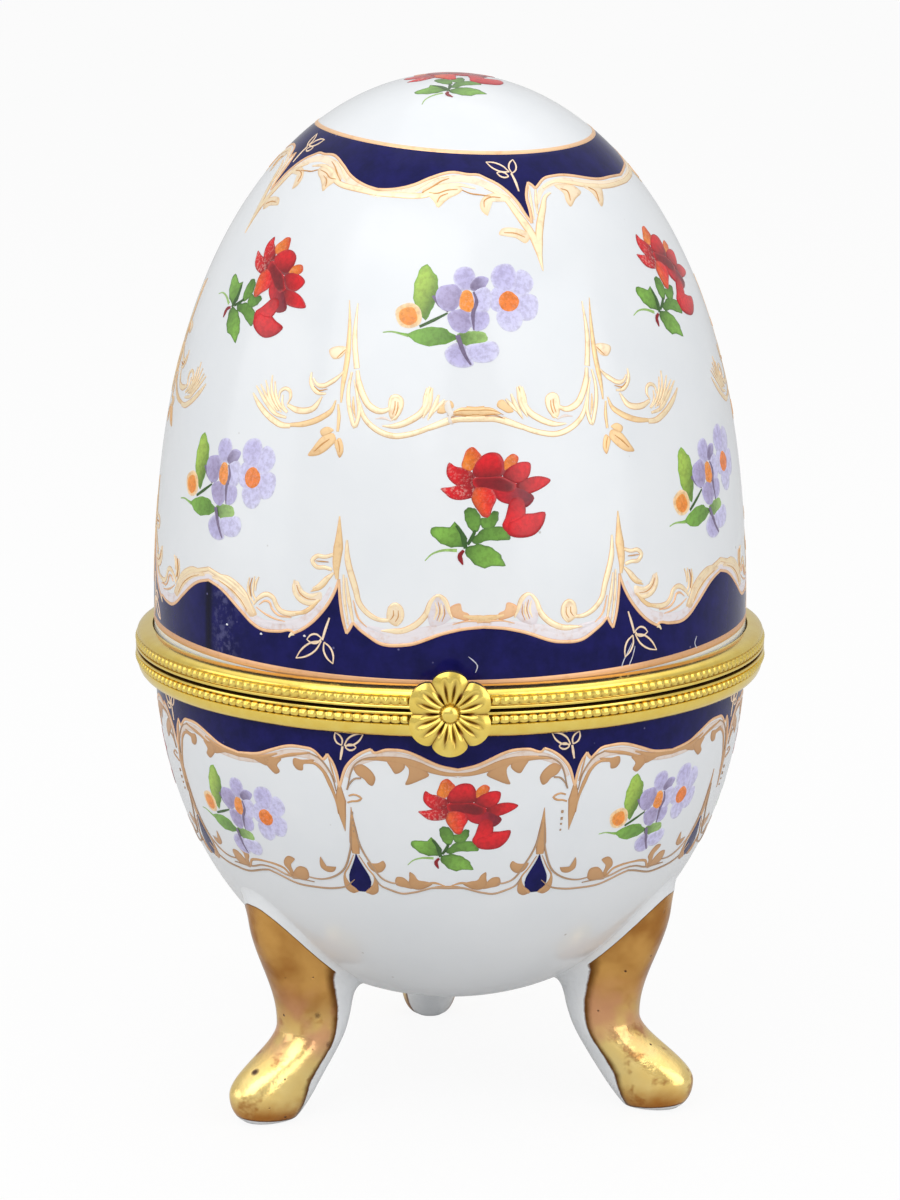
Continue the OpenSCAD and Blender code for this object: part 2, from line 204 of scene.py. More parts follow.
# Pink painted sheen about the ankle
pinkSheen = legGold.noise(4.4, 2.0).above(0.46, 0.12) * height.above(9.0, 2.0) * (1 - height.above(15.5, 3.0))
gold = (0.7 * pinkSheen).mixed(gold, lin(214, 148, 118))
gold = edge.mixed(lin(112, 70, 28), gold)
gold = speck.mixed(gold, lin(78, 46, 20))
bare = legGold.noise(4.0).mixed(lin(224, 227, 230), lin(234, 236, 238))
legGold.feed("Base Color", cover.mixed(bare, gold))
legGold.feed("Metallic", cover * (0.95 - 0.6 * speck))
legGold.feed("Roughness", 0.10 + cover * (0.03 + 0.16 * legGold.noise(0.8, 3.0)))
legGold.bump(legGold.noise(1.7, 4.0, 0.6) + 1.5 * legGold.noise(4.0, 2.0) - 0.6 * speck, 0.1)

# Cement under the bands: chalky and matt
mortar = Finish("cementBed")
mortar.feed("Base Color", mortar.noise(0.8, 4.0).mixed(lin(188, 180, 166), lin(214, 208, 196)))
mortar.feed("Roughness", 0.8 + 0.15 * mortar.noise(0.5))
print("stage: materials made")


# Rows and columns of a grid as quads, columns closing round on themselves, rows too if asked
def gridQuads(rows, columns, wrapRows=False):
    i = np.arange(rows if wrapRows else rows - 1)[:, None]
    j = np.arange(columns)[None, :]
    k, m = (i + 1) % rows, (j + 1) % columns
    return np.stack([i * columns + j, k * columns + j, k * columns + m, i * columns + m], -1).reshape(-1, 4)


# Corner coordinates for gridQuads: columns run along u and rows along v without folding back
def gridUV(rows, columns, wrapRows=False):
    n = rows if wrapRows else rows - 1
    i, j = np.meshgrid(np.arange(n), np.arange(columns), indexing="ij")
    u = np.stack([j, j, j + 1, j + 1], -1) / columns
    v = np.stack([i, i + 1, i + 1, i], -1) / n
    return np.stack([u, v], -1).reshape(-1, 2)


# A piece of the object from points in mm and arrays of faces, with its attributes, material and body
def addPiece(name, body, finish, points, faceSets, uv=None, tint=None, masks=None,
             stands=(), crease=35.0):
    mesh = bpy.data.meshes.new(name)
    corners = np.concatenate([f.ravel() for f in faceSets]).astype(np.int32)
    sizes = np.concatenate([np.full(len(f), f.shape[1]) for f in faceSets])
    mesh.vertices.add(len(points))
    mesh.vertices.foreach_set("co", (points * 0.001).astype(np.float32).ravel())
    mesh.loops.add(len(corners))
    mesh.loops.foreach_set("vertex_index", corners)
    mesh.polygons.add(len(sizes))
    mesh.polygons.foreach_set("loop_start", (np.cumsum(sizes) - sizes).astype(np.int32))
    mesh.update(calc_edges=True)
    mesh.shade_smooth()
    mesh.set_sharp_from_angle(angle=math.radians(crease))
    if uv is not None:
        mesh.uv_layers.new(name="OFBake").data.foreach_set("uv", uv.astype(np.float32).ravel())
    if tint is not None:
        rgba = np.concatenate([tint, np.ones((len(tint), 1))], 1).astype(np.float32)
        mesh.attributes.new("tint", "FLOAT_COLOR", "POINT").data.foreach_set("color", rgba.ravel())
    for key, values in (masks or {}).items():
        mask = mesh.attributes.new(key, "FLOAT", "POINT")
        mask.data.foreach_set("value", values.astype(np.float32).ravel())
    mesh.materials.append(finish.material)
    piece = bpy.data.objects.new(name, mesh)
    scene.collection.objects.link(piece)
    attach(piece, body)
    if stands:
        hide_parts(*stands)


# Points of a profile of radius and height at even bearings about Z: x is r sin and y is -r cos of the bearing
def spun(profile, columns):
    az = np.arange(columns) * 2 * np.pi / columns
    r, z = profile[:, :1], profile[:, 1:]
    return np.stack([r * np.sin(az), -r * np.cos(az), z + 0 * az], -1).reshape(-1, 3)


# Triangles from a hub to one row of a grid, turned the other way if asked
def fan(hub, row, columns, flip=False):
    j = row * columns + np.arange(columns)
    k = row * columns + (np.arange(columns) + 1) % columns
    return np.stack([np.full(columns, hub), *((k, j) if flip else (j, k))], -1)


# A profile turned about Z from one point on the axis to another, down on the outside, with a fan at each pole
def turned(profile, columns, margin=0.01):
    rows = len(profile) - 2
    poles = np.array([[0, 0, profile[0, 1]], [0, 0, profile[-1, 1]]])
    hub = rows * columns
    faces = [gridQuads(rows, columns), fan(hub, 0, columns), fan(hub + 1, rows - 1, columns, True)]
    left = np.arange(columns) / columns
    mid, right = (np.arange(columns) + 0.5) / columns, (np.arange(columns) + 1) / columns
    first = ((mid, 0), (left, margin), (right, margin))
    last = ((mid, 1), (right, 1 - margin), (left, 1 - margin))
    fanUV = [np.stack([np.stack([u, 0 * mid + v], -1) for u, v in corners], 1).reshape(-1, 2)
             for corners in (first, last)]
    uv = gridUV(rows, columns) * [1, 1 - 2 * margin] + [0, margin]
    return np.concatenate([spun(profile[1:-1], columns), poles]), faces, np.concatenate([uv, *fanUV])


# A closed profile turned about Z; it runs down on its outside
def turnedLoop(profile, columns):
    rows = len(profile)
    return spun(profile, columns), [gridQuads(rows, columns, True)], gridUV(rows, columns, True)


# The egg's sizes in mm; the powers round its halves, and the porcelain's skin lies a little inside the part's
egg = {"radius": 33.0, "wall": 2.6, "lidBase": 52.2, "lidRise": 61.8, "lidPower": 2.45, "bowlTop": 50.2,
       "bowlDrop": 39.1, "bowlSide": 2.2, "bowlPower": 2.05, "skin": -0.12, "steps": 4000, "columns": 360,
       "lidRows": 170, "bowlRows": 140}


# One half of the egg: r = radius cos(t)^a and height = rise sin(t)^b, kept by arc length from the rim
class Half:
    def __init__(self, base, rise, a, b):
        t = np.linspace(0, np.pi / 2, egg["steps"] + 1)
        self.up = 1 if rise > 0 else -1
        self.r = egg["radius"] * np.cos(t) ** a
        self.r[-1] = 0
        self.z = base + rise * np.sin(t) ** b
        step = np.hypot(np.diff(self.r), np.diff(self.z))
        self.s = np.concatenate([[0], np.cumsum(step)])
        dr, dz = np.gradient(self.r, self.s), np.gradient(self.z, self.s)
        size = np.hypot(dr, dz)
        self.nr, self.nz = self.up * dz / size, -self.up * dr / size
        inside = (egg["radius"] - egg["wall"]) / egg["radius"], (abs(rise) - egg["wall"]) / abs(rise)
        self.inner = np.stack([self.r * inside[0], base + (self.z - base) * inside[1]], -1)

    # Arc length at which the half has height z
    def along(self, z):
        return np.interp(z * self.up, self.z * self.up, self.s)

    # Points at bearing az, arc length s and lift above the visible skin
    def at(self, az, s, lift):
        r, z = np.interp(s, self.s, self.r), np.interp(s, self.s, self.z)
        rise = lift + egg["skin"]
        out = r + rise * np.interp(s, self.s, self.nr)
        return np.stack([out * np.sin(az), -out * np.cos(az), z + rise * np.interp(s, self.s, self.nz)], -1)

    # Outline of the hollow half from the outer pole to the rim and up the inside to the inner pole
    def shell(self, rows):
        s = np.linspace(self.s[-1], 0, rows)
        skin = self.at(0 * s, s, 0.0)
        outer = np.stack([-skin[:, 1], skin[:, 2]], -1)
        inner = self.inner[np.unique(np.linspace(0, egg["steps"], rows // 2).astype(int))]
        path = np.concatenate([outer, inner])
        path[[0, -1], 0] = 0
        return path if self.up > 0 else path[::-1]


lidHalf = Half(egg["lidBase"], egg["lidRise"], 1.0, 2 / egg["lidPower"])
bowlHalf = Half(egg["bowlTop"], -egg["bowlDrop"], 2 / egg["bowlSide"], 2 / egg["bowlPower"])

points, faces, uv = turned(lidHalf.shell(egg["lidRows"]), egg["columns"])
addPiece("lidShell", "lid", porcelain, points, faces, uv, stands=["lid_shell"])
points, faces, uv = turned(bowlHalf.shell(egg["bowlRows"]), egg["columns"])
addPiece("bowlShell", "base", porcelain, points, faces, uv, stands=["base_bowl"])
print("stage: shells made")


# Cubic curve through points p that lie at distances d along it, taken at distances t
def cubicAt(p, d, t):
    slope = np.gradient(p, d, axis=0)
    i = np.clip(np.searchsorted(d, t, side="right") - 1, 0, len(d) - 2)
    h = (d[i + 1] - d[i])[:, None]
    u = (t - d[i])[:, None] / h
    return ((2 * u ** 3 - 3 * u ** 2 + 1) * p[i] + (u ** 3 - 2 * u ** 2 + u) * h * slope[i]
            + (3 * u ** 2 - 2 * u ** 3) * p[i + 1] + (u ** 3 - u ** 2) * h * slope[i + 1])


# A smooth line through points, sampled about every step mm
def through(points, step=0.3):
    p = np.asarray(points, float)
    d = np.concatenate([[0], np.cumsum(np.hypot(*np.diff(p, axis=0).T))])
    return cubicAt(p, d, np.linspace(0, d[-1], max(5, int(d[-1] / step) + 2)))


# A closed smooth outline through points, sampled at count places anticlockwise
def closedThrough(points, count):
    p = np.asarray(points, float)
    q = np.concatenate([p[-2:], p, p[:3]])
    d = np.concatenate([[0], np.cumsum(np.hypot(*np.diff(q, axis=0).T))])
    line = cubicAt(q, d, d[2] + (d[2 + len(p)] - d[2]) * np.arange(count) / count)
    area = (line[:, 0] * np.roll(line[:, 1], -1) - line[:, 1] * np.roll(line[:, 0], -1)).sum()
    return line if area > 0 else line[::-1]


# Sections of painted strokes: places across the stroke and heights, closed below the skin
lineSection = np.array([[1, 0.15], [0.6, 1], [-0.6, 1], [-1, 0.15], [0, -1.5]])
plateSection = np.array([[1, 1], [0.85, 1], [0.5, 1], [0, 1], [-0.5, 1], [-0.85, 1], [-1, 1], [-0.7, -1],
                         [0.7, -1]])

# Foot of all paint, below the skin
foot = -0.05

# Painted shapes: points on the outline and waves of a ragged edge, then rings from the rim to the middle,
# each with its share of the outline, of the height and of the rim colour
shapeSides, shapeWaves = 28, 9
shapeRings = np.array([[0.97, -1, 0.8], [1.07, 0.3, 0.8], [0.97, 1, 0.4], [0.8, 1, 0.06], [0.5, 1, 0],
                       [0.2, 1, 0], [0.02, 1, 0]])


# Collects closed strokes and shapes laid on the egg into one piece
class Layer:
    def __init__(self):
        self.points, self.quads, self.caps, self.tints, self.masks, self.cells = [], [], [], [], [], []
        self.count = 0

    # Keep a grid of points that closes round its columns and is capped at both ends
    def add(self, xyz, tint, mask):
        n, m = xyz.shape[:2]
        i = self.count + np.arange(m)
        self.points.append(xyz.reshape(-1, 3))
        self.quads.append(gridQuads(n, m)[:, ::-1] + self.count)
        self.caps.append(np.stack([i[::-1], i + (n - 1) * m]))
        self.tints.append(np.broadcast_to(tint, (n, m, 3)).reshape(-1, 3))
        self.masks.append(np.full(n * m, mask))
        self.cells.append((n, m))
        self.count += n * m

    # A section swept along a line in local mm; widths run evenly along it; spot maps x, y and lift to space
    def sweep(self, line, widths, spot, section, top, tint, mask=1.0):
        n, m = len(line), len(section)
        half = np.interp(np.linspace(0, 1, n), np.linspace(0, 1, len(widths)), widths) / 2
        run = np.gradient(line, axis=0)
        run /= np.maximum(np.hypot(run[:, 0], run[:, 1]), 1e-9)[:, None]
        side = np.stack([-run[:, 1], run[:, 0]], -1)
        flat = line[:, None, :] + side[:, None, :] * (half[:, None] * section[None, :, 0])[:, :, None]
        lift = np.where(section[:, 1] > 0, top * section[:, 1], -foot * section[:, 1])
        self.add(spot(flat[..., 0], flat[..., 1], np.broadcast_to(lift, (n, m))), tint, mask)

    # Lay a gold line or leaf through points, its edges a deeper tint as painted shade and its middle paler as
    # a painted highlight
    def line(self, points, widths, spot, tint, gilt=1.0, top=0.05):
        middle, rim = tint
        shade = np.where(np.abs(lineSection[:, :1]) > 0.9, rim, middle)
        self.sweep(through(points), widths, spot, lineSection, top, shade, gilt)

    # Lay a shape inside an outline: rings drawn in to its middle, its edge waved as a sine, shaded towards
    # the bearing lean and rimmed in colour
    def shape(self, outline, spot, top, hue, rim, shade, lean, amount, mask=0.0, ragged=0.0):
        line = closedThrough(outline, shapeSides)
        middle = line.mean(0)
        wave = np.sin(shapeWaves * 2 * np.pi * np.arange(shapeSides) / shapeSides)
        line = middle + (line - middle) * (1 + ragged * wave)[:, None]
        share, rise, edge = (shapeRings[:, k, None] for k in range(3))
        flat = middle + share[..., None] * (line - middle)
        lift = np.where(rise > 0, top * rise, foot) + 0 * flat[..., 0]
        ahead = (flat - middle) @ np.array([math.cos(math.radians(lean)), math.sin(math.radians(lean))])
        dark = amount * np.clip(0.5 + 0.5 * ahead / ahead.max(), 0, 1)[..., None] ** 1.5
        tint = hue + (shade - hue) * dark
        tint = tint + (rim - tint) * edge[..., None]
        self.add(spot(flat[..., 0], flat[..., 1], lift), tint, mask)

    # Corner coordinates that give every stroke a cell of its own, along it and across it
    def uv(self):
        side = int(math.ceil(math.sqrt(len(self.cells))))
        corners = [np.array([k % side, k // side]) for k in range(len(self.cells))]
        grids = [gridUV(n, m)[:, ::-1].reshape(-1, 4, 2)[:, ::-1].reshape(-1, 2) for n, m in self.cells]
        parts = [(grid * 0.9 + 0.05 + corner) / side for grid, corner in zip(grids, corners)]
        order = sorted(range(len(self.cells)), key=lambda k: self.cells[k][1])
        tips = [np.tile((corners[k] + 0.5) / side, (2 * self.cells[k][1], 1)) for k in order]
        return np.concatenate(parts + tips)

    # Make the piece of all that was laid
    def piece(self, name, body, slot, finish, mask):
        sides = sorted({m for n, m in self.cells})
        caps = [np.concatenate([c for c in self.caps if c.shape[1] == m]) for m in sides]
        addPiece(name, body, finish, np.concatenate(self.points), [np.concatenate(self.quads), *caps],
                 self.uv(), np.concatenate(self.tints), {mask: np.concatenate(self.masks)}, crease=50.0)


# Maps local mm at bearing az0 and height z0 onto a half; x is measured at radius, y along the meridian
def spotOn(half, az0, z0, radius, tilt=None):
    s0 = half.along(z0)

    def spot(x, y, lift):
        az = math.radians(az0) + x / radius
        shift = tilt(az) if tilt else 0.0
        return half.at(az, s0 + half.up * (y + shift), lift)
    return spot


# Gold paints: colour of the middle, paler as a painted highlight, and of the edges, deeper as painted shade
goldTints = {
    "gold": (lin(255, 234, 196), lin(214, 158, 100)), "deep": (lin(214, 160, 98), lin(184, 126, 72)),
    "pale": (lin(250, 232, 206), lin(246, 224, 196)), "lilac": (lin(232, 226, 230), lin(222, 212, 218)),
    "haze": (lin(228, 214, 204), lin(210, 190, 178)), "copper": (lin(244, 200, 156), lin(214, 146, 100)),
    "sprig": (lin(250, 226, 196), lin(226, 178, 140)), "peach": (lin(252, 234, 204), lin(228, 190, 140)),
    "honey": (lin(246, 212, 162), lin(214, 166, 112)), "tan": (lin(208, 162, 116), lin(172, 128, 90)),
    "umber": (lin(184, 152, 122), lin(150, 118, 94))}

# The crown's transfer sits askew: lowest at its front cusp, it rises to either side as 1 - cos
askew = {"cusp": 22.0, "rise": 1.67, "spread": 1.55}


def crownLean(az):
    turn = np.abs((az - math.radians(askew["cusp"]) + np.pi) % (2 * np.pi) - np.pi)
    return askew["rise"] * (1 - np.cos(np.minimum(askew["spread"] * turn, np.pi)))


# The skirt's lower line hangs at front and back and rises to the sides as sin squared
def skirtHang(az, rise=1.05):
    return rise * np.sin(az) ** 2


# No lean at any bearing
def upright(az):
    return 0 * az


# Widths of the finest strokes
hair, vein, thread, reed = [0.08, 0.16, 0.08], [0.08, 0.18, 0.08], [0.06, 0.16, 0.06], [0.12, 0.34, 0.12]

# Borders on a half about height z0: cusps are bearings, and the two sides of a cusp are drawn in mm, x away
# from it. Reach is half a panel, turn the blade's side of the first cusp, and weight widens the gold lines.
# Cobalt lies between the edges and the height flat, and ring is a gold line's height and width.
# Lines are points, widths and tint, and fills are outline and tint
skirt = {
    "half": lidHalf, "z0": 60.0, "radius": 32.9, "cusps": [-82.0, -20.5, 32.6, 92.0, 154.0, 216.0],
    "turn": -1, "flat": 53.9, "ring": (53.6, 0.75), "reach": (15.2, 17.7), "weight": 1.2, "hang": skirtHang,
    "joint": -51.0,
    "blade": {
        "edge": [
            [(0, 4.1), (0.1, 2.6), (0.6, -0.5), (0.9, -1.5)],
            [(0.9, -1.5), (1.3, -0.9), (1.6, -0.3)],
            [(1.6, -0.3), (2.2, -0.9), (3.2, -1.6), (4.4, -2.3), (7.2, -2.4), (11.2, -1.1), (13, -0.7),
             (15.2, -0.5)]],
        "lines": [
            ([(0.8, 8.2), (0.9, 6.4), (1.9, 3), (2.2, 1.9), (4.6, 0.1), (5.4, 0.1)], [0.2, 0.56, 0.61, 0.51,
             0.47, 0.3], "gold"),
            ([(5.4, 0.2), (5.6, 1.5), (6.1, 1.8), (6.5, 1.6), (6.7, 0.1), (6.3, -0.4)], [0.2, 0.35, 0.36,
             0.35, 0.1], "gold"),
            ([(4.6, -1), (5.6, -1), (6.5, -1), (9.4, 1.1), (9.7, 2), (10.2, 2.7)], [0.1, 0.51, 0.56, 0.54,
             0.52, 0.3], "gold"),
            ([(10.1, 2.6), (10.5, 2.8), (11, 2.5), (11.7, 1), (12, 0.4)], [0.2, 0.48, 0.44, 0.12], "gold"),
            ([(10.2, 2.1), (10.4, 1.2), (10.1, 0.3)], [0.1, 0.3, 0.1], "gold"),
            ([(10.8, 2), (10.9, 1.1), (10.6, 0.1)], [0.1, 0.32, 0.1], "gold"),
            ([(13.1, 0.7), (14, 0.5), (15.1, 0.4), (15.9, 0.2)], [0.3, 0.62, 0.64], "honey"),
            ([(5.9, 1.2), (5.9, 0.6), (5.6, 0.2)], hair, "deep"),
            ([(6.4, 1.2), (6.4, 0.5), (6.1, 0)], hair, "deep"),
            ([(10.5, 2.2), (10.7, 1.2), (10.4, 0.2)], hair, "deep"),
            ([(11.1, 1.8), (11.2, 0.9), (10.9, 0.1)], hair, "deep"),
            ([(12, -0.2), (13.2, 0.1), (15.9, 0)], [0.1, 0.21, 0.22], "copper"),
            ([(3.1, -0.6), (4.4, -0.9), (5.8, -1.4), (9.1, -0.8), (12.4, -0.1)], [0.2, 0.7, 0.8, 0.65, 0.4],
             "lilac"),
            ([(1.6, 2), (2.3, 0), (3.1, -0.7)], [0.1, 0.24, 0.1], "copper"),
            ([(0.9, -0.2), (2.1, -0.5), (3.4, -1.2), (5.4, -1.9), (7.4, -1.8), (9.6, -1.1), (12, -0.4),
             (15.2, -0.1)], [0.5, 0.9, 0.9, 0.6], "lilac"),
            ([(0.5, 4.6), (0.6, 2.5), (1.1, -0.7)], [0.17, 0.29, 0.14], "gold"),
            ([(0.8, 4.3), (1.1, 2.3), (1.6, -0.3)], [0.17, 0.37, 0.24], "gold")],
        "fills": [
            ([(5.3, 0.2), (5.5, 1.5), (6, 1.9), (6.9, 0.8), (6.2, -0.4)], "peach"),
            ([(9.5, 0.9), (9.7, 2), (10.2, 2.8), (10.8, 2.7), (11.4, 1.8), (11.8, 0.7), (9.8, -0.3)],
             "lilac"),
            ([(11.7, 1.4), (12.8, 1.9), (13, 1.2), (13.6, 0.9), (13.6, 0.3), (12.7, 0.4), (12, 0.7)],
             "copper")]},
    "smooth": {
        "edge": [
            [(0, 4.1), (0.2, 3.4), (2, 0.4), (4.2, -1.5), (5.2, -2)],
            [(5.2, -2), (5.5, -1.8), (7, -2), (9.6, -2), (10.8, -1.5), (12, -0.7), (16, 1.6), (17.7, 2)]],
        "lines": [
            ([(17, 2.4), (15.1, 2.1), (13.5, 1.4), (12.2, 0.6), (11.2, -0.5)], [0.14, 0.37, 0.4, 0.14],
             "gold"),
            ([(16.3, 2.8), (14.3, 2.7), (11.8, 1.5), (10.4, -0.5)], [0.14, 0.39, 0.42, 0.41, 0.14], "gold"),
            ([(11.1, 3.2), (11.3, 2.3), (11.1, 1.4), (10.4, 0.5)], [0.12, 0.34, 0.14], "gold"),
            ([(10.4, 3.4), (10.5, 1.4), (10, 0.8)], [0.12, 0.34, 0.14], "gold"),
            ([(9.8, 3.4), (10.2, 2.7), (10.2, 1.9)], [0.12, 0.3, 0.1], "gold"),
            ([(10.5, 0.4), (10, 1), (8.4, 1.7), (7.8, 1.4), (7.4, 0.7), (6.9, 0.2), (6, 0), (4.1, 0.3)],
             [0.2, 0.45, 0.46, 0.48, 0.5, 0.3], "gold"),
            ([(5, 0.1), (4.1, 0.3), (2.1, 1.8)], [0.3, 0.5, 0.46, 0.14], "honey"),
            ([(9.7, 0.5), (8.9, 1), (8.3, 0.9), (8, 0.3), (7.4, -0.2), (5.5, -0.4)], [0.1, 0.27, 0.26, 0.23,
             0.1], "copper"),
            ([(10.1, 0.2), (9.1, -0.3), (7.8, -0.7), (6.3, -0.9)], [0.1, 0.26, 0.1], "copper"),
            ([(5.2, 3.6), (5.2, 2.6), (4.8, 1.9), (2.9, 1.4), (2.3, 1.8)], [0.14, 0.44, 0.5, 0.47, 0.14],
             "gold"),
            ([(4.7, 3.4), (4.5, 2.7), (3, 2.1), (2.2, 2.5)], [0.12, 0.35, 0.36, 0.12], "gold"),
            ([(3.2, 2.6), (2.2, 3), (0.9, 4.3)], [0.12, 0.4, 0.42, 0.14], "honey"),
            ([(15.9, 2.3), (13.8, 1.6), (12.2, 0.6), (11.3, -0.4)], thread, "deep"),
            ([(10.7, 3.2), (11, 2.2), (10.8, 1.2)], hair, "deep"),
            ([(4.9, 3.1), (4.5, 2.3), (3.6, 1.8), (2.6, 1.8)], thread, "deep"),
            ([(10.5, -1.2), (8.6, -1.3), (4.3, -0.5), (2.9, 0.5), (1.8, 1.8)], [0.2, 0.62, 0.7, 0.55, 0.2],
             "lilac"),
            ([(0.9, 3.2), (1.7, 1.7), (4.3, -0.9), (6.2, -1.4), (10.2, -1.1), (12.2, 0.1), (14.4, 1.5),
             (17.7, 2.5)], [0.3, 0.85, 0.9, 0.88, 0.7], "lilac"),
            ([(0.1, 10.6), (0.1, 8), (0.3, 5), (0.2, 4.1)], [0.14, 0.6, 1.1, 0.9, 0.34], "honey"),
            ([(5.2, -2), (5.6, -2.2), (5.8, -2.5)], [0.5, 0.14], "gold"),
            ([(0.8, 5), (1.6, 5.2), (2.6, 5.2), (3.1, 5.8), (2.6, 6.3), (1.6, 6.3), (0.7, 6.6)], [0.3, 0.42,
             0.3], "gold"),
            ([(1.2, 5.8), (2, 5.8), (2.7, 5.8)], hair, "deep"),
            ([(0.6, 4.7), (1.5, 3.9), (2.3, 3.2), (3, 2.9)], [0.2, 0.5, 0.46, 0.17], "gold"),
            ([(11.2, 0), (13.2, 1.3), (17.7, 2.8)], [0.1, 0.33, 0.36], "pale"),
            ([(11.6, 1), (13.4, 2), (17.7, 3.2)], [0.17, 0.44, 0.4], "gold")],
        "fills": [
            ([(16.8, 2.5), (15.1, 2.7), (12.3, 2), (10.8, 0.4), (10.2, -0.5), (10.8, -0.9), (11.8, -0.2),
             (12.8, 0.7), (14.3, 1.6)], "peach"),
            ([(5.3, 2.3), (5.2, 3.3), (4.8, 3.5), (4.4, 2.8), (2.9, 2.2), (2.1, 2.6), (2, 2), (2.7, 1.3)],
             "pale")]}}
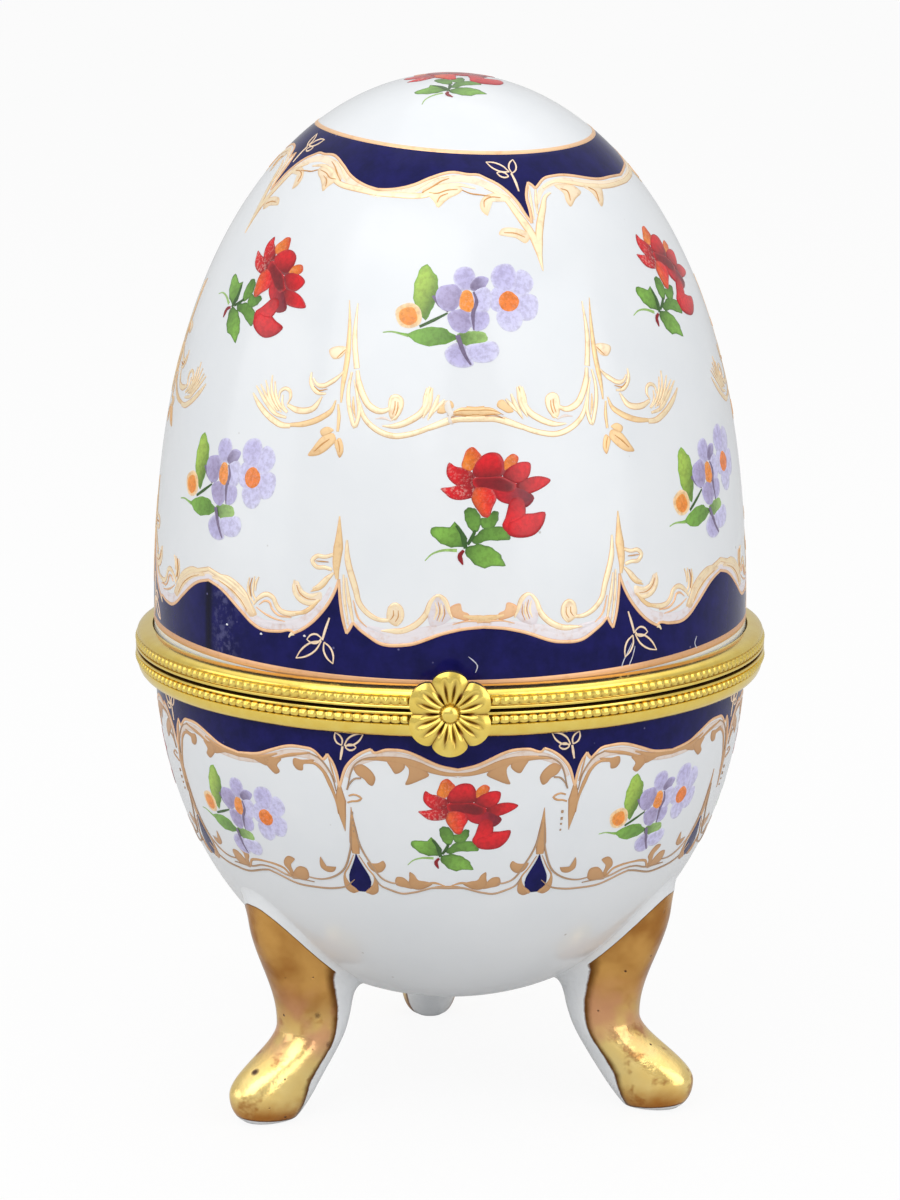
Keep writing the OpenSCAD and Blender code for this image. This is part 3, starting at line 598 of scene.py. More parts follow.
garland = {
    "half": lidHalf, "z0": 83.0, "radius": 29.9, "cusps": [-82.0, -20.7, 30.6, 91.5, 153.0, 215.0],
    "turn": -1, "reach": (13.45, 16.0), "weight": 1.3,
    "blade": {
        "lines": [
            ([(0.9, 2.4), (1.1, 1.4), (1.9, -0.4), (2.4, -1.1), (4, -1.7), (4.7, -1.4)], [0.3, 0.54, 0.55,
             0.54, 0.3], "gold"),
            ([(4.9, -2.6), (5.4, -2.2), (5.7, -0.3), (5.2, -0.1), (4.8, -0.3), (4.7, -0.9), (4.6, -1.6)],
             [0.1, 0.32, 0.34, 0.34, 0.32, 0.2], "gold"),
            ([(0.3, 2.2), (0.1, 0.8), (0.6, -2.3), (1.1, -3.4), (1.4, -2.5), (1.1, -0.1), (0.6, 1.4)], [0.2,
             0.36, 0.34, 0.34, 0.1], "gold"),
            ([(0.7, -0.3), (0.8, -1.4), (1.1, -2.5)], [0.1, 0.34, 0.1], "honey"),
            ([(1.3, -0.5), (2.1, -2.5), (5.4, -4.2), (6.7, -4), (10.7, -2.4)], [0.1, 0.4, 0.46, 0.46, 0.43,
             0.4, 0.36], "gold"),
            ([(4, -3.2), (5.1, -3.2), (7.1, -2.4), (7.8, -1.9), (8.6, -0.3), (8.6, 0.5), (8.8, 0.9)], [0.1,
             0.46, 0.54, 0.54, 0.48, 0.2], "gold"),
            ([(14.4, -1.6), (13, -1.7), (11.9, -1.6), (10.9, -1.9)], [1.1, 1.1, 0.8, 0.2], "honey"),
            ([(14.4, -2.3), (13, -2.4), (11.8, -2.4), (8.7, -3.4)], [0.4, 0.45, 0.46, 0.3], "gold"),
            ([(10.3, -0.4), (9.8, -1), (9.2, -1.7)], [0.16, 0.38, 0.1], "gold"),
            ([(9.7, 0.1), (9.4, -0.8), (8.6, -2.5)], [0.16, 0.38, 0.38, 0.1], "gold"),
            ([(9, 0.8), (8.6, -1.3), (8.1, -2.3)], [0.16, 0.4, 0.4, 0.1], "gold"),
            ([(8.5, 0.8), (8.3, -0.3), (8.1, -1.2)], [0.16, 0.36, 0.1], "gold"),
            ([(5.2, -0.6), (5.2, -1.3), (5, -2)], hair, "deep"),
            ([(5.5, -0.7), (5.5, -1.4), (5.3, -2.1)], hair, "deep"),
            ([(13.8, -1.5), (11.5, -1.6), (10.6, -2)], thread, "deep"),
            ([(13.8, -1.9), (12.6, -2), (11.5, -2), (10.5, -2.4)], thread, "deep"),
            ([(3.2, -2.5), (4.2, -2.4), (4.9, -2.7)], [0.08, 0.3, 0.1], "haze"),
            ([(0, 9.4), (0.2, 5.6), (0.8, 2.6)], [0.1, 0.45, 0.5], "gold")],
        "fills": [
            ([(4.6, -1.7), (4.9, -0.1), (5.3, 0), (5.8, -0.3), (5.7, -1.8), (5.3, -2.5), (4.9, -2.4)],
             "peach"),
            ([(11.2, -1.1), (11, -0.6), (10.6, -0.5), (10.1, -1), (9.6, -1.7), (10.1, -1.8), (10.7, -1.5)],
             "honey")]},
    "smooth": {
        "lines": [
            ([(11.7, -0.9), (10.8, -1.8), (8.4, -3.4), (7.3, -3.8), (6.2, -3.8)], [0.16, 0.47, 0.52, 0.54,
             0.4], "gold"),
            ([(11.4, -0.1), (9.5, -1.8), (8.3, -2.7), (6.8, -3)], [0.12, 0.35, 0.36, 0.2], "gold"),
            ([(10.8, 0.1), (9.3, -1.5), (8.2, -2.5)], reed, "gold"),
            ([(10.2, 0.6), (8.9, -1.6), (7.9, -2.4)], reed, "gold"),
            ([(9.4, 1.2), (9.2, -0.3), (8.5, -1.5), (7.5, -2.5)], reed, "gold"),
            ([(8.9, 0.6), (8.5, -0.8), (7.8, -1.8), (6.8, -2.5)], [0.12, 0.34, 0.16], "gold"),
            ([(8, -1.1), (8, -0.4), (7.4, 0), (6.8, -0.2), (6.6, -1), (6.9, -1.6)], [0.12, 0.3, 0.32, 0.3,
             0.1], "gold"),
            ([(7.6, -0.7), (7.5, -1.7), (6.7, -2.4)], [0.1, 0.26, 0.1], "gold"),
            ([(6.8, -1.7), (5.7, -2.1), (3.7, -1.8), (2.8, -0.5)], [0.3, 0.51, 0.53, 0.46, 0.14], "gold"),
            ([(6.2, -3.7), (4.7, -3.5), (2.5, -2.6), (1.6, -1.9), (1.2, -0.8)], [0.4, 0.61, 0.66, 0.58,
             0.16], "honey"),
            ([(4.4, 1.9), (4.4, 1.1), (3.2, -0.2), (2.4, -0.2)], [0.14, 0.37, 0.37, 0.14], "gold"),
            ([(4.1, 1.3), (3.6, 0.7), (2.8, 0.6), (2, 1), (1.2, 1.6), (0.6, 2.3)], [0.14, 0.4, 0.4, 0.1],
             "gold"),
            ([(1.1, 9.7), (0.7, 7.6), (0.4, 3.8), (0.6, 0.3), (0.6, -1)], [0.06, 0.4, 0.62, 0.6, 0.2],
             "honey"),
            ([(0.9, -1.2), (0.7, -2.4), (0.7, -4)], [0.2, 0.4, 0.3], "honey"),
            ([(3.9, 0.5), (3.3, 0.1), (2.3, 0.3)], hair, "deep"),
            ([(3.1, -6.2), (2.3, -5.4), (1.5, -4.8)], [0.08, 0.2, 0.08], "deep"),
            ([(0.6, -4.9), (0.4, -5.5), (0.3, -6.1)], vein, "deep"),
            ([(0.7, 4.5), (1.1, 4.1), (1.6, 3.6)], hair, "deep")],
        "fills": [
            ([(2.6, 4.3), (1.3, 4.8), (0.7, 4.7), (1.3, 3.6), (2, 3.5)], "peach"),
            ([(3.7, -6.6), (3.3, -5.9), (1.9, -4.4), (1.2, -4.3), (0.9, -4.9), (1.4, -5.6), (3, -6.6)],
             "honey"),
            ([(0.5, -4.7), (0, -6.1), (0.3, -6.6), (0.7, -5.9), (0.9, -5.1)], "honey"),
            ([(2.6, -4.1), (1.9, -3.6), (1.2, -3.9), (1.7, -4.3), (2.4, -4.5)], "honey")]}}
crown = {
    "half": lidHalf, "z0": 103.0, "radius": 20.4, "cusps": [-65.5, askew["cusp"], 112.0, 202.0], "turn": -1,
    "flat": 106.45, "ring": (106.62, 0.5), "reach": (15.9, 15.7), "lean": crownLean, "weight": 1.5,
    "blade": {
        "edge": [
            [(0, -4), (0.1, -2.5), (0.1, -1), (0.4, 0.1), (0.8, 0.9)],
            [(0.8, 0.9), (1.2, 0.5), (1.4, 0.1)],
            [(1.4, 0.1), (3.1, 1.4), (4.4, 1.6), (11.3, 0.7), (13, 0.8), (15.9, 0.8)]],
        "lines": [
            ([(1, -1.8), (2.2, 0), (4, 0.8), (8.5, 0.3), (11, 0), (15.9, 0.1)], [0.4, 0.83, 0.9, 0.8],
             "pale"),
            ([(0.3, -3.6), (0.5, -1.5), (0.8, 0.9)], [0.1, 0.17, 0.08], "gold"),
            ([(0.8, -3), (1.1, -1.2), (1.4, 0)], [0.1, 0.24, 0.14], "gold"),
            ([(0.1, -8.4), (0.4, -5.5), (1.6, -2.2), (2.3, -0.9), (3, -0.5)], [0.08, 0.47, 0.53, 0.44,
             0.15], "gold"),
            ([(2.3, 0.1), (4, 0.8), (6, 0.6), (8, 0.1), (10, -0.2), (15.9, 0)], [0.15, 0.4, 0.42, 0.4],
             "gold"),
            ([(4.4, -0.1), (5.1, -0.4), (5, -1.6)], vein, "deep"),
            ([(8.2, -0.2), (8.9, -0.7), (8.7, -2)], vein, "deep")],
        "fills": [
            ([(3.9, 0.3), (4.9, 0.4), (6.4, 0), (6.8, -0.6), (5.7, -1.4), (4.7, -2.2), (4.5, -1.6),
             (4.6, -0.7)], "peach"),
            ([(7.5, 0.1), (8.8, 0.2), (10.1, 0), (8.7, -2.5), (8.4, -0.9)], "peach")]},
    "smooth": {
        "edge": [
            [(0, -4), (0.5, -2.9), (0.9, -1.7), (2.5, 0.6), (4.4, 1.9)],
            [(4.4, 1.9), (4.6, 2), (5.8, 2.1), (7.5, 2.4), (10.2, 1.6), (11.7, 0.8), (14.7, 0.1),
             (15.7, 0.1)]],
        "lines": [
            ([(1, -2.6), (2, -0.9), (5.6, 1.4), (9.6, 1.2), (12, 0.1), (15.7, -0.5)], [0.4, 0.82, 0.9, 0.9,
             0.9, 0.8], "pale"),
            ([(15.7, -0.4), (13.7, -0.5), (10.2, -0.4), (8.7, 0.5), (7.2, 0.8), (5.2, 0.3)], [0.44, 0.5,
             0.44, 0.38, 0.12], "gold"),
            ([(10.8, -0.2), (9.8, 0.5), (8.9, 1.2), (8, 1.6)], [0.1, 0.22, 0.08], "deep"),
            ([(11.6, 0), (9.4, 1.6), (8, 1.9)], vein, "gold"),
            ([(4.2, 0.4), (3, -0.3), (2.1, -1.2), (1.4, -2.6), (0.1, -6), (-0.1, -9.4)], [0.15, 0.38, 0.56,
             0.53, 0.06], "gold"),
            ([(10.1, -0.2), (9.3, -0.3), (8.2, 0.1), (7.1, 0.2)], vein, "deep"),
            ([(9.2, -1.4), (8.9, -0.7), (8.1, -0.3)], vein, "deep"),
            ([(4.5, -2), (4.4, -1.2), (3.7, -0.8), (2.7, -0.9)], vein, "deep"),
            ([(2.9, -5), (1.9, -5.1), (1, -5.6)], vein, "deep"),
            ([(6.6, 0.1), (5.8, -0.3), (4.7, -0.5), (3.7, -0.7)], vein, "deep")],
        "fills": [
            ([(10.7, -0.1), (9.4, 0.7), (7.3, 0.7), (6.7, 0.2), (7.2, -0.4), (7.8, -0.7), (8.4, -1.2),
             (9.1, -1.9), (9.4, -1.3), (9.9, -0.7)], "peach"),
            ([(1.7, -1), (2.4, -0.5), (4.3, -0.7), (4.8, -1.5), (4.7, -2.4), (4.2, -2.9), (4.3, -2.1),
             (3.1, -1.1), (2.4, -1.4)], "peach"),
            ([(0.5, -5.4), (2, -4.5), (3, -4.6), (3.3, -5.2), (2.7, -5.4), (1.9, -5.6), (1.1, -6.2)],
             "peach")]}}
collar = {
    "half": bowlHalf, "z0": 45.0, "radius": 32.8, "turn": 1, "flat": 49.4, "reach": (12.9, 12.8),
    "cusps": [-66.0, -20.9, 23.8, 69.0, 114.0, 159.0, 204.0, 249.0],
    "blade": {
        "edge": [
            [(0, -3.1), (0.2, -1.6), (0.6, -0.4), (1.2, 0.5)],
            [(1.2, 0.5), (1.4, 0.1), (1.7, -0.2)],
            [(1.7, -0.2), (3, 0.8), (4, 0.9), (5.3, 0.9), (8.3, 0), (9.6, -0.5), (12.9, -1)]],
        "lines": [
            ([(1.2, -1.6), (2.2, -0.4), (5.6, 0.1), (7.6, -0.5), (10, -1.2), (12.9, -1.5)], [0.4, 0.83, 0.9,
             0.9, 0.8], "haze"),
            ([(0.4, -2.6), (0.8, -1), (1.1, 0.3)], [0.1, 0.22, 0.1], "tan"),
            ([(0.4, -6.2), (0.5, -4.8), (1.1, -2.8), (1.9, -1.3), (2.8, -0.7), (3.5, -0.7)], [0.08, 0.5,
             0.3], "tan"),
            ([(0.4, -3.6), (0.8, -1.9), (2.3, 0), (3.5, 0.4)], [0.1, 0.22, 0.21, 0.1], "umber"),
            ([(3.2, 0.4), (6.3, -0.3), (7.7, -0.8)], [0.2, 0.43, 0.3], "tan"),
            ([(7.3, -0.2), (10.3, -1.1), (11.5, -1.1), (12.9, -1.2)], [0.2, 0.53, 0.6, 0.6], "tan")],
        "fills": [
            ([(2.8, -0.4), (4.3, -0.5), (5.2, -0.5), (5.3, -1.1), (4.9, -1.6), (4.2, -1.6), (4.1, -1),
             (3.3, -0.8)], "tan"),
            ([(6.9, -0.8), (7.5, -1.6), (7.2, -2.1), (7.8, -2.5), (8.3, -2.2), (9.2, -1), (8, -0.7)],
             "tan"),
            ([(8.5, -1), (8.8, -1.7), (9.8, -1.6), (11.5, -0.9), (9.1, -0.9)], "tan")]},
    "smooth": {
        "edge": [
            [(0, -3.1), (1, -0.6), (2.8, 1), (3.7, 1.4)],
            [(3.7, 1.4), (3.9, 1.1), (5.3, 1.4), (6.8, 1.4), (11.3, -0.3), (12.8, -0.6)]],
        "lines": [
            ([(0.9, -1.9), (1.7, -0.6), (3.2, 0.3), (5.4, 0.8), (7.6, 0.5), (10, -0.4), (12.8, -1.1)], [0.4,
             0.83, 0.9, 0.9, 0.8], "haze"),
            ([(0, -2.9), (0, -4.4), (0.2, -8.2)], [0.4, 1.3, 0.8, 0.06], "tan"),
            ([(0.8, -3.3), (2.1, -0.2), (3.2, 0.4), (4.3, 0.6)], [0.1, 0.2, 0.2, 0.1], "umber"),
            ([(2.8, 0.2), (4.1, 0.4), (7, 0.3), (12, -1.1), (12.8, -1.1)], [0.2, 0.54, 0.84, 0.86, 0.55,
             0.4], "tan"),
            ([(2.5, -1.9), (1.8, -2), (1.2, -2.6), (0.9, -3.3)], [0.2, 0.21, 0.08], "umber"),
            ([(1, -4), (1.6, -3.8), (2.4, -4.2), (2, -4.5), (1.3, -4.6), (0.8, -4.8)], [0.2, 0.26, 0.2],
             "tan"),
            ([(1.2, -5.8), (1.2, -6.1)], [0.3, 0.3], "umber"),
            ([(1.2, -6.6), (1.2, -6.9)], [0.28, 0.28], "umber"),
            ([(1.2, -7.3), (1.2, -7.5)], [0.24, 0.24], "umber"),
            ([(1.2, -8), (1.2, -8.2)], [0.2, 0.2], "umber")],
        "fills": [
            ([(1.8, -0.8), (2.3, -0.4), (4, -1.9), (3.6, -2.6), (3.2, -2.4), (2.9, -2), (2.1, -1.5)],
             "tan"),
            ([(5.4, 0.2), (5.8, -0.5), (6.2, -1.1), (7.2, -0.4), (7, 0.4)], "tan"),
            ([(7, 0.2), (7.7, -0.6), (7.6, -1.5), (7.3, -2.2), (8.9, -1.7), (9.7, -1.2), (8.9, -0.4),
             (7.9, 0.2)], "tan")]}}
besideDrop = ([(0.3, 3.4), (1, 1.9), (1.7, 0.6), (1.4, -0.5), (0.5, -1.5)], [0.1, 0.3], "tan")
underDrop = ([(0.5, -1.3), (1.1, -1.7), (1.7, -1.4), (1.7, 0.6), (1.3, -0.4)], "tan")
border = {
    "half": bowlHalf, "z0": 31.0, "radius": 29.5, "turn": 1, "reach": (11.9, 9.5),
    "cusps": [-65.0, -18.9, 18.0, 64.1, 110.3, 156.5, 202.7, 248.9],
    "blade": {
        "lines": [
            ([(0.1, 7.5), (0.6, 3.9), (1.9, 1.1), (5.1, -0.4), (6.3, -0.3)], [0.06, 0.23, 0.24, 0.24, 0.15],
             "umber"),
            ([(5.7, -0.9), (9.4, -0.6), (10.9, -0.1), (11.9, 0)], [0.1, 0.24, 0.2], "umber"),
            ([(0.6, 0.2), (1.8, -0.9), (3.4, -1.4), (5.7, -1.6), (7.8, -1.6), (11, -0.7), (11.9, -0.5)],
             [0.12, 0.26, 0.26, 0.26, 0.24], "umber"),
            ([(8.8, -0.7), (9.4, 0.2), (10.4, 0.5), (11.9, 0.6)], [0.3, 0.34, 0.24], "tan"),
            besideDrop],
        "fills": [
            ([(2.6, 1.6), (3.3, 1.3), (3.9, 1.8), (4.1, 2.6), (4.3, 1.2), (3.6, 0.8), (2.9, 1)], "tan"),
            ([(6.4, -0.5), (6.4, 0.8), (7, 0.9), (8.2, -0.1), (8.6, -0.9), (7.8, -0.9)], "tan"),
            ([(7.6, 1.8), (8.2, 2), (9.2, 0.7), (8.8, 0.1), (8.8, -0.7), (8.3, -0.3), (8.3, 0.9)], "tan"),
            underDrop]},
    "smooth": {
        "lines": [
            ([(0, 9.2), (0, 4.2), (0, 3.6)], [0.06, 0.4, 0.8, 1.1, 0.8], "tan"),
            ([(0.1, 7.5), (0.7, 4.2), (1.4, 2.6), (2.8, 0.4), (3.6, 0.1), (4.2, 0.1)], [0.06, 0.23, 0.24,
             0.24, 0.2], "umber"),
            ([(1.7, 0.7), (2.2, -0.3), (3.3, -0.9), (4.6, -1.3), (5.7, -1.1), (8.3, -0.3), (9.5, -0.3)],
             [0.12, 0.26, 0.26, 0.26, 0.24], "umber"),
            ([(7.4, -0.5), (8.5, -0.3), (9.5, -0.3)], [0.1, 0.4, 0.46], "tan"),
            ([(7, 0.1), (8.1, 0.3), (9.2, -0.1)], [0.3, 0.3, 0.1], "tan"),
            besideDrop],
        "fills": [
            ([(1.2, 2.6), (1.7, 2.5), (2.3, 2.6), (2.8, 2.9), (3, 2.5), (2.2, 1.4), (1.7, 1.5)], "tan"),
            ([(4, -0.1), (4.2, 0.9), (4.7, 0.9), (5.4, 0.2), (5.7, -0.5), (4.9, -0.4)], "tan"),
            ([(5.4, -0.2), (5.5, 0.8), (5.6, 1.6), (6, 1.3), (6.4, 0.6), (7, 0.5), (7.8, 0.2), (7.2, -0.3),
             (6.1, -0.6)], "tan"),
            underDrop]}}


# A drawn path with the crown's own lean taken out, since it was drawn in place at the front cusp
def settled(band, path):
    path = np.array(path, float)
    if "lean" in band:
        path[:, 1] -= band["lean"](math.radians(askew["cusp"]) + path[:, 0] / band["radius"])
    return path


# Sides of a border's repeats: bearing, way from the cusp, stretch to half the panel, and the drawing
def sidesOf(band):
    cusps = np.array(band["cusps"])
    n = len(cusps)
    for k in range(n):
        facing = band["turn"] * (1 if k % 2 == 0 else -1)
        for way in (-1, 1):
            gap = abs((cusps[(k + way) % n] - cusps[k]) * way % 360)
            drawing = "blade" if way == facing else "smooth"
            reach = band["reach"][0 if drawing == "blade" else 1]
            yield cusps[k], way, math.radians(gap / 2) * band["radius"] / reach, band[drawing]


# Cobalt ground: a grid between a level ring and the scalloped edge, raised a hair and closed underneath;
# the transfer overlaps itself at the joint and is thin beside it, both in degrees
ground = {"step": 0.25, "rows": 14, "lift": 0.03, "under": -0.3, "least": 2e-5, "joint": 180.0,
          "lap": 1.1, "thinAt": 4.5, "thinWide": 3.2}


def groundOf(name, body, band):
    half, rows, lean = band["half"], ground["rows"], band.get("lean", upright)
    bearings, edges = [], []
    for az0, way, stretch, drawing in sidesOf(band):
        parts = [through(settled(band, part), ground["step"]) for part in drawing["edge"]]
        line = np.concatenate([part[:-1] for part in parts] + [parts[-1][-1:]])
        az = np.radians(az0) + way * stretch * line[:, 0] / band["radius"]
        bearings.append(az % (2 * np.pi))
        edges.append(half.along(band["z0"]) + half.up * (line[:, 1] + lean(az)))
    az, s = np.concatenate(bearings), np.concatenate(edges)
    order = np.argsort(az, kind="stable")
    az, s = az[order], s[order]
    keep = np.concatenate([[True], np.diff(az) > ground["least"]])
    az, s = az[keep], s[keep]
    share = np.linspace(0, 1, rows)[:, None]
    level = half.along(band["flat"])
    flat = level + band.get("hang", lean)(az)
    grid = flat + (s - flat) * share
    lift = np.where((share == 0) | (share == 1), 0.0, ground["lift"]) + 0 * az
    top = half.at(np.broadcast_to(az, grid.shape), grid, lift)
    under = np.full((2, len(az)), ground["under"])
    base = half.at(np.broadcast_to(az, under.shape), grid[[-1, 0]], under)
    points = np.concatenate([top, base]).reshape(-1, 3)
    quads = gridQuads(rows + 2, len(az), True)
    if level * half.up < s.mean() * half.up:
        quads = quads[:, ::-1]
    past = (np.degrees(az) - band.get("joint", ground["joint"]) + 180.0) % 360.0 - 180.0
    masks = {"overlap": np.exp(-(past / ground["lap"]) ** 4),
             "thin": np.exp(-((past - ground["thinAt"]) / ground["thinWide"]) ** 2)}
    masks = {key: np.tile(mask, rows + 2) for key, mask in masks.items()}
    addPiece(name, body, cobalt, points, [quads], gridUV(rows + 2, len(az), True), None, masks,
             crease=60.0)


# Gold lines of a border: its scalloped edge first, then the drawn strokes and fills of both sides. Soft tints
# lie lowest and dark ones highest, and strokes rise by small steps in turns of eight
gild = {"edge": [0.3, 0.36, 0.36, 0.3], "edgeTop": 0.06, "soft": ("pale", "lilac", "haze"), "softTop": 0.02,
        "softGilt": 0.3, "dark": ("deep", "umber"), "darkUp": 0.03, "top": 0.05, "step": 0.002, "steps": 8,
        "fillTop": 0.04, "fillGilt": 0.8, "fillLean": -90, "fillShade": 0.4, "ringTop": 0.055}


def gildBorder(layer, band):
    for az0, way, stretch, drawing in sidesOf(band):
        spot = spotOn(band["half"], az0, band["z0"], band["radius"], band.get("lean"))
        flip = np.array([way * stretch, 1.0])
        for part in drawing.get("edge", []):
            layer.line(settled(band, part) * flip, gild["edge"], spot, goldTints["copper"],
                       top=gild["edgeTop"])
        for k, (path, widths, tint) in enumerate(drawing["lines"]):
            weight = band["weight"] if tint == "gold" else 1.0
            top, gilt = gild["top"] + gild["step"] * (k % gild["steps"]), 1.0
            if tint in gild["dark"]:
                top += gild["darkUp"]
            if tint in gild["soft"]:
                top, gilt = gild["softTop"], gild["softGilt"]
            layer.line(settled(band, path) * flip, np.array(widths) * weight, spot, goldTints[tint],
                       gilt, top)
        for outline, tint in drawing["fills"]:
            middle, rim = goldTints[tint]
            layer.shape(settled(band, outline) * flip, spot, gild["fillTop"], middle, rim, rim,
                        gild["fillLean"], gild["fillShade"], gild["fillGilt"])


# A border's gold line right round, raised at each bearing as its cobalt is; its length is laid out at radius
def goldRing(layer, band, tint, radius=30, steps=540):
    half, (z, width), shift = band["half"], band["ring"], band.get("hang", band.get("lean"))
    az = np.linspace(-math.pi, math.pi, steps + 1)
    s0 = half.along(z)
    layer.sweep(np.stack([az * radius, 0 * az], -1), [width, width],
                lambda x, y, lift: half.at(x / radius, s0 + half.up * y + shift(x / radius), lift),
                lineSection, gild["ringTop"], tint)


# Sprig of outlined leaves on the cobalt: stem, then pairs of bowed lines from root to tip
sprigPaint = {"stem": [0.2, 0.34, 0.26], "leaf": [0.16, 0.24, 0.24, 0.12], "gilt": 0.6, "top": 0.07}


def sprig(layer, spot, stem, leaves, flip):
    paint = goldTints["sprig"], sprigPaint["gilt"], sprigPaint["top"]
    layer.line(np.array(stem) * flip, sprigPaint["stem"], spot, *paint)
    for root, tip, width in leaves:
        a, b = np.array(root, float), np.array(tip, float)
        side = np.array([a[1] - b[1], b[0] - a[0]]) / np.hypot(*(b - a)) * width / 2
        for sign in (1, -1):
            bow = sign * side
            path = np.array([a, a + (b - a) * 0.3 + bow, a + (b - a) * 0.72 + bow * 0.9, b])
            layer.line(path * flip, sprigPaint["leaf"], spot, *paint)


groundOf("skirtCobalt", "lid", skirt)
groundOf("crownCobalt", "lid", crown)
groundOf("collarCobalt", "base", collar)
print("stage: cobalt grounds made")

lidGilding, bowlGilding = Layer(), Layer()
for band in (skirt, garland, crown):
    gildBorder(lidGilding, band)
for band in (collar, border):
    gildBorder(bowlGilding, band)
goldRing(lidGilding, crown, goldTints["copper"][0])
goldRing(lidGilding, skirt, lin(226, 176, 134))

# Sprigs by the cusps: a stem, then leaves as root, tip and width
skirtSprig = ([(1.0, 0.0), (1.5, -1.4), (1.8, -2.4)],
              [((1.9, -2.2), (3.6, -2.5), 0.9), ((1.9, -2.5), (4.9, -4.6), 0.9),
               ((1.6, -2.6), (0.6, -4.8), 0.8)])
crownSprig = ([(0.55, -0.2), (0.65, 1.2), (0.85, 2.1)],
              [((0.75, 2.1), (0.15, 3.9), 0.8), ((1.05, 2.3), (3.55, 3.6), 0.8),
               ((1.25, 1.7), (2.55, 2.2), 0.6)])
collarSprig = ([(0.3, 0.0), (0.5, 1.0), (0.6, 1.5)],
               [((0.5, 1.6), (-0.2, 2.9), 0.7), ((0.8, 1.6), (2.9, 3.0), 0.8),
                ((0.9, 1.4), (2.1, 1.5), 0.6)])
for band, layer, (stem, leaves) in ((skirt, lidGilding, skirtSprig), (crown, lidGilding, crownSprig),
                                    (collar, bowlGilding, collarSprig)):
    for az0, way, stretch, drawing in sidesOf(band):
        if drawing is band["smooth"]:
            spot = spotOn(band["half"], az0, band["z0"], band["radius"], band.get("lean"))
            sprig(layer, spot, stem, leaves, np.array([way, 1.0]))

# Wear in mm about the front: scratches through the cobalt, pin holes, and a rubbed spot in the garland
scars = {"scratches": [[(1.9, 1.43), (2.41, 1.01), (2.83, 0.47), (2.62, -0.26)],
                       [(20.27, 1.6), (19.74, 0.7), (19.23, -0.09), (18.86, -1.0)],
                       [(20.67, 1.22), (20.41, 0.3), (19.89, -0.81)],
                       [(30.37, 0.83), (30.0, 0.14), (30.59, -0.73)]],
         "scratchWidths": [0.06, 0.16, 0.12, 0.16, 0.05],
         "holes": [(-21.2, 2.4), (-15.7, 2.8), (-26.2, 2.7)], "hole": [(-0.16, 0), (0, 0.05), (0.16, 0)],
         "holeWidths": [0.1, 0.34, 0.1],
         "rub": [(-0.45, 1.0), (-0.1, 1.25), (0.1, 0.6), (0.35, 0), (0.1, -0.5), (0.25, -1.1), (-0.2, -0.9),
                 (-0.15, -0.2), (-0.5, 0.3)]}
nearRim, nearGarland = spotOn(lidHalf, 0.0, 55.0, 33.0), spotOn(lidHalf, 0.0, 81.3, 30.0)
for path in scars["scratches"]:
    lidGilding.line(path, scars["scratchWidths"], nearRim, (lin(206, 210, 226), lin(150, 152, 190)), 0.0)
for place in scars["holes"]:
    lidGilding.line(np.array(scars["hole"]) + place, scars["holeWidths"], nearRim,
                    (lin(232, 234, 242), lin(190, 192, 214)), 0.0)
lidGilding.shape(scars["rub"], nearGarland, 0.1, lin(236, 234, 230), lin(232, 222, 210), lin(214, 196, 180),
                 200, 0.6)

lidGilding.piece("lidGilding", "lid", "gilded_porcelain", gilding, "gilt")
bowlGilding.piece("bowlGilding", "base", "gilded_porcelain", gilding, "gilt")

# Cobalt teardrops in the cusps of the bowl's border
teardrop = {"line": [(0, 3.6), (0, 2), (0, 0.4), (0, -1.4)], "step": 0.2, "top": 0.04,
            "widths": [0.05, 0.5, 1.1, 1.75, 2.3, 2.5, 2.2, 0.7]}
teardrops = Layer()
for az0 in border["cusps"]:
    spot = spotOn(bowlHalf, az0, border["z0"], border["radius"])
    teardrops.sweep(through(teardrop["line"], teardrop["step"]), teardrop["widths"], spot, plateSection,
                    teardrop["top"], lin(30, 26, 80), 0.0)
teardrops.piece("bowlTeardrops", "base", "porcelain", cobalt, "gilt")
print("stage: gilding made")

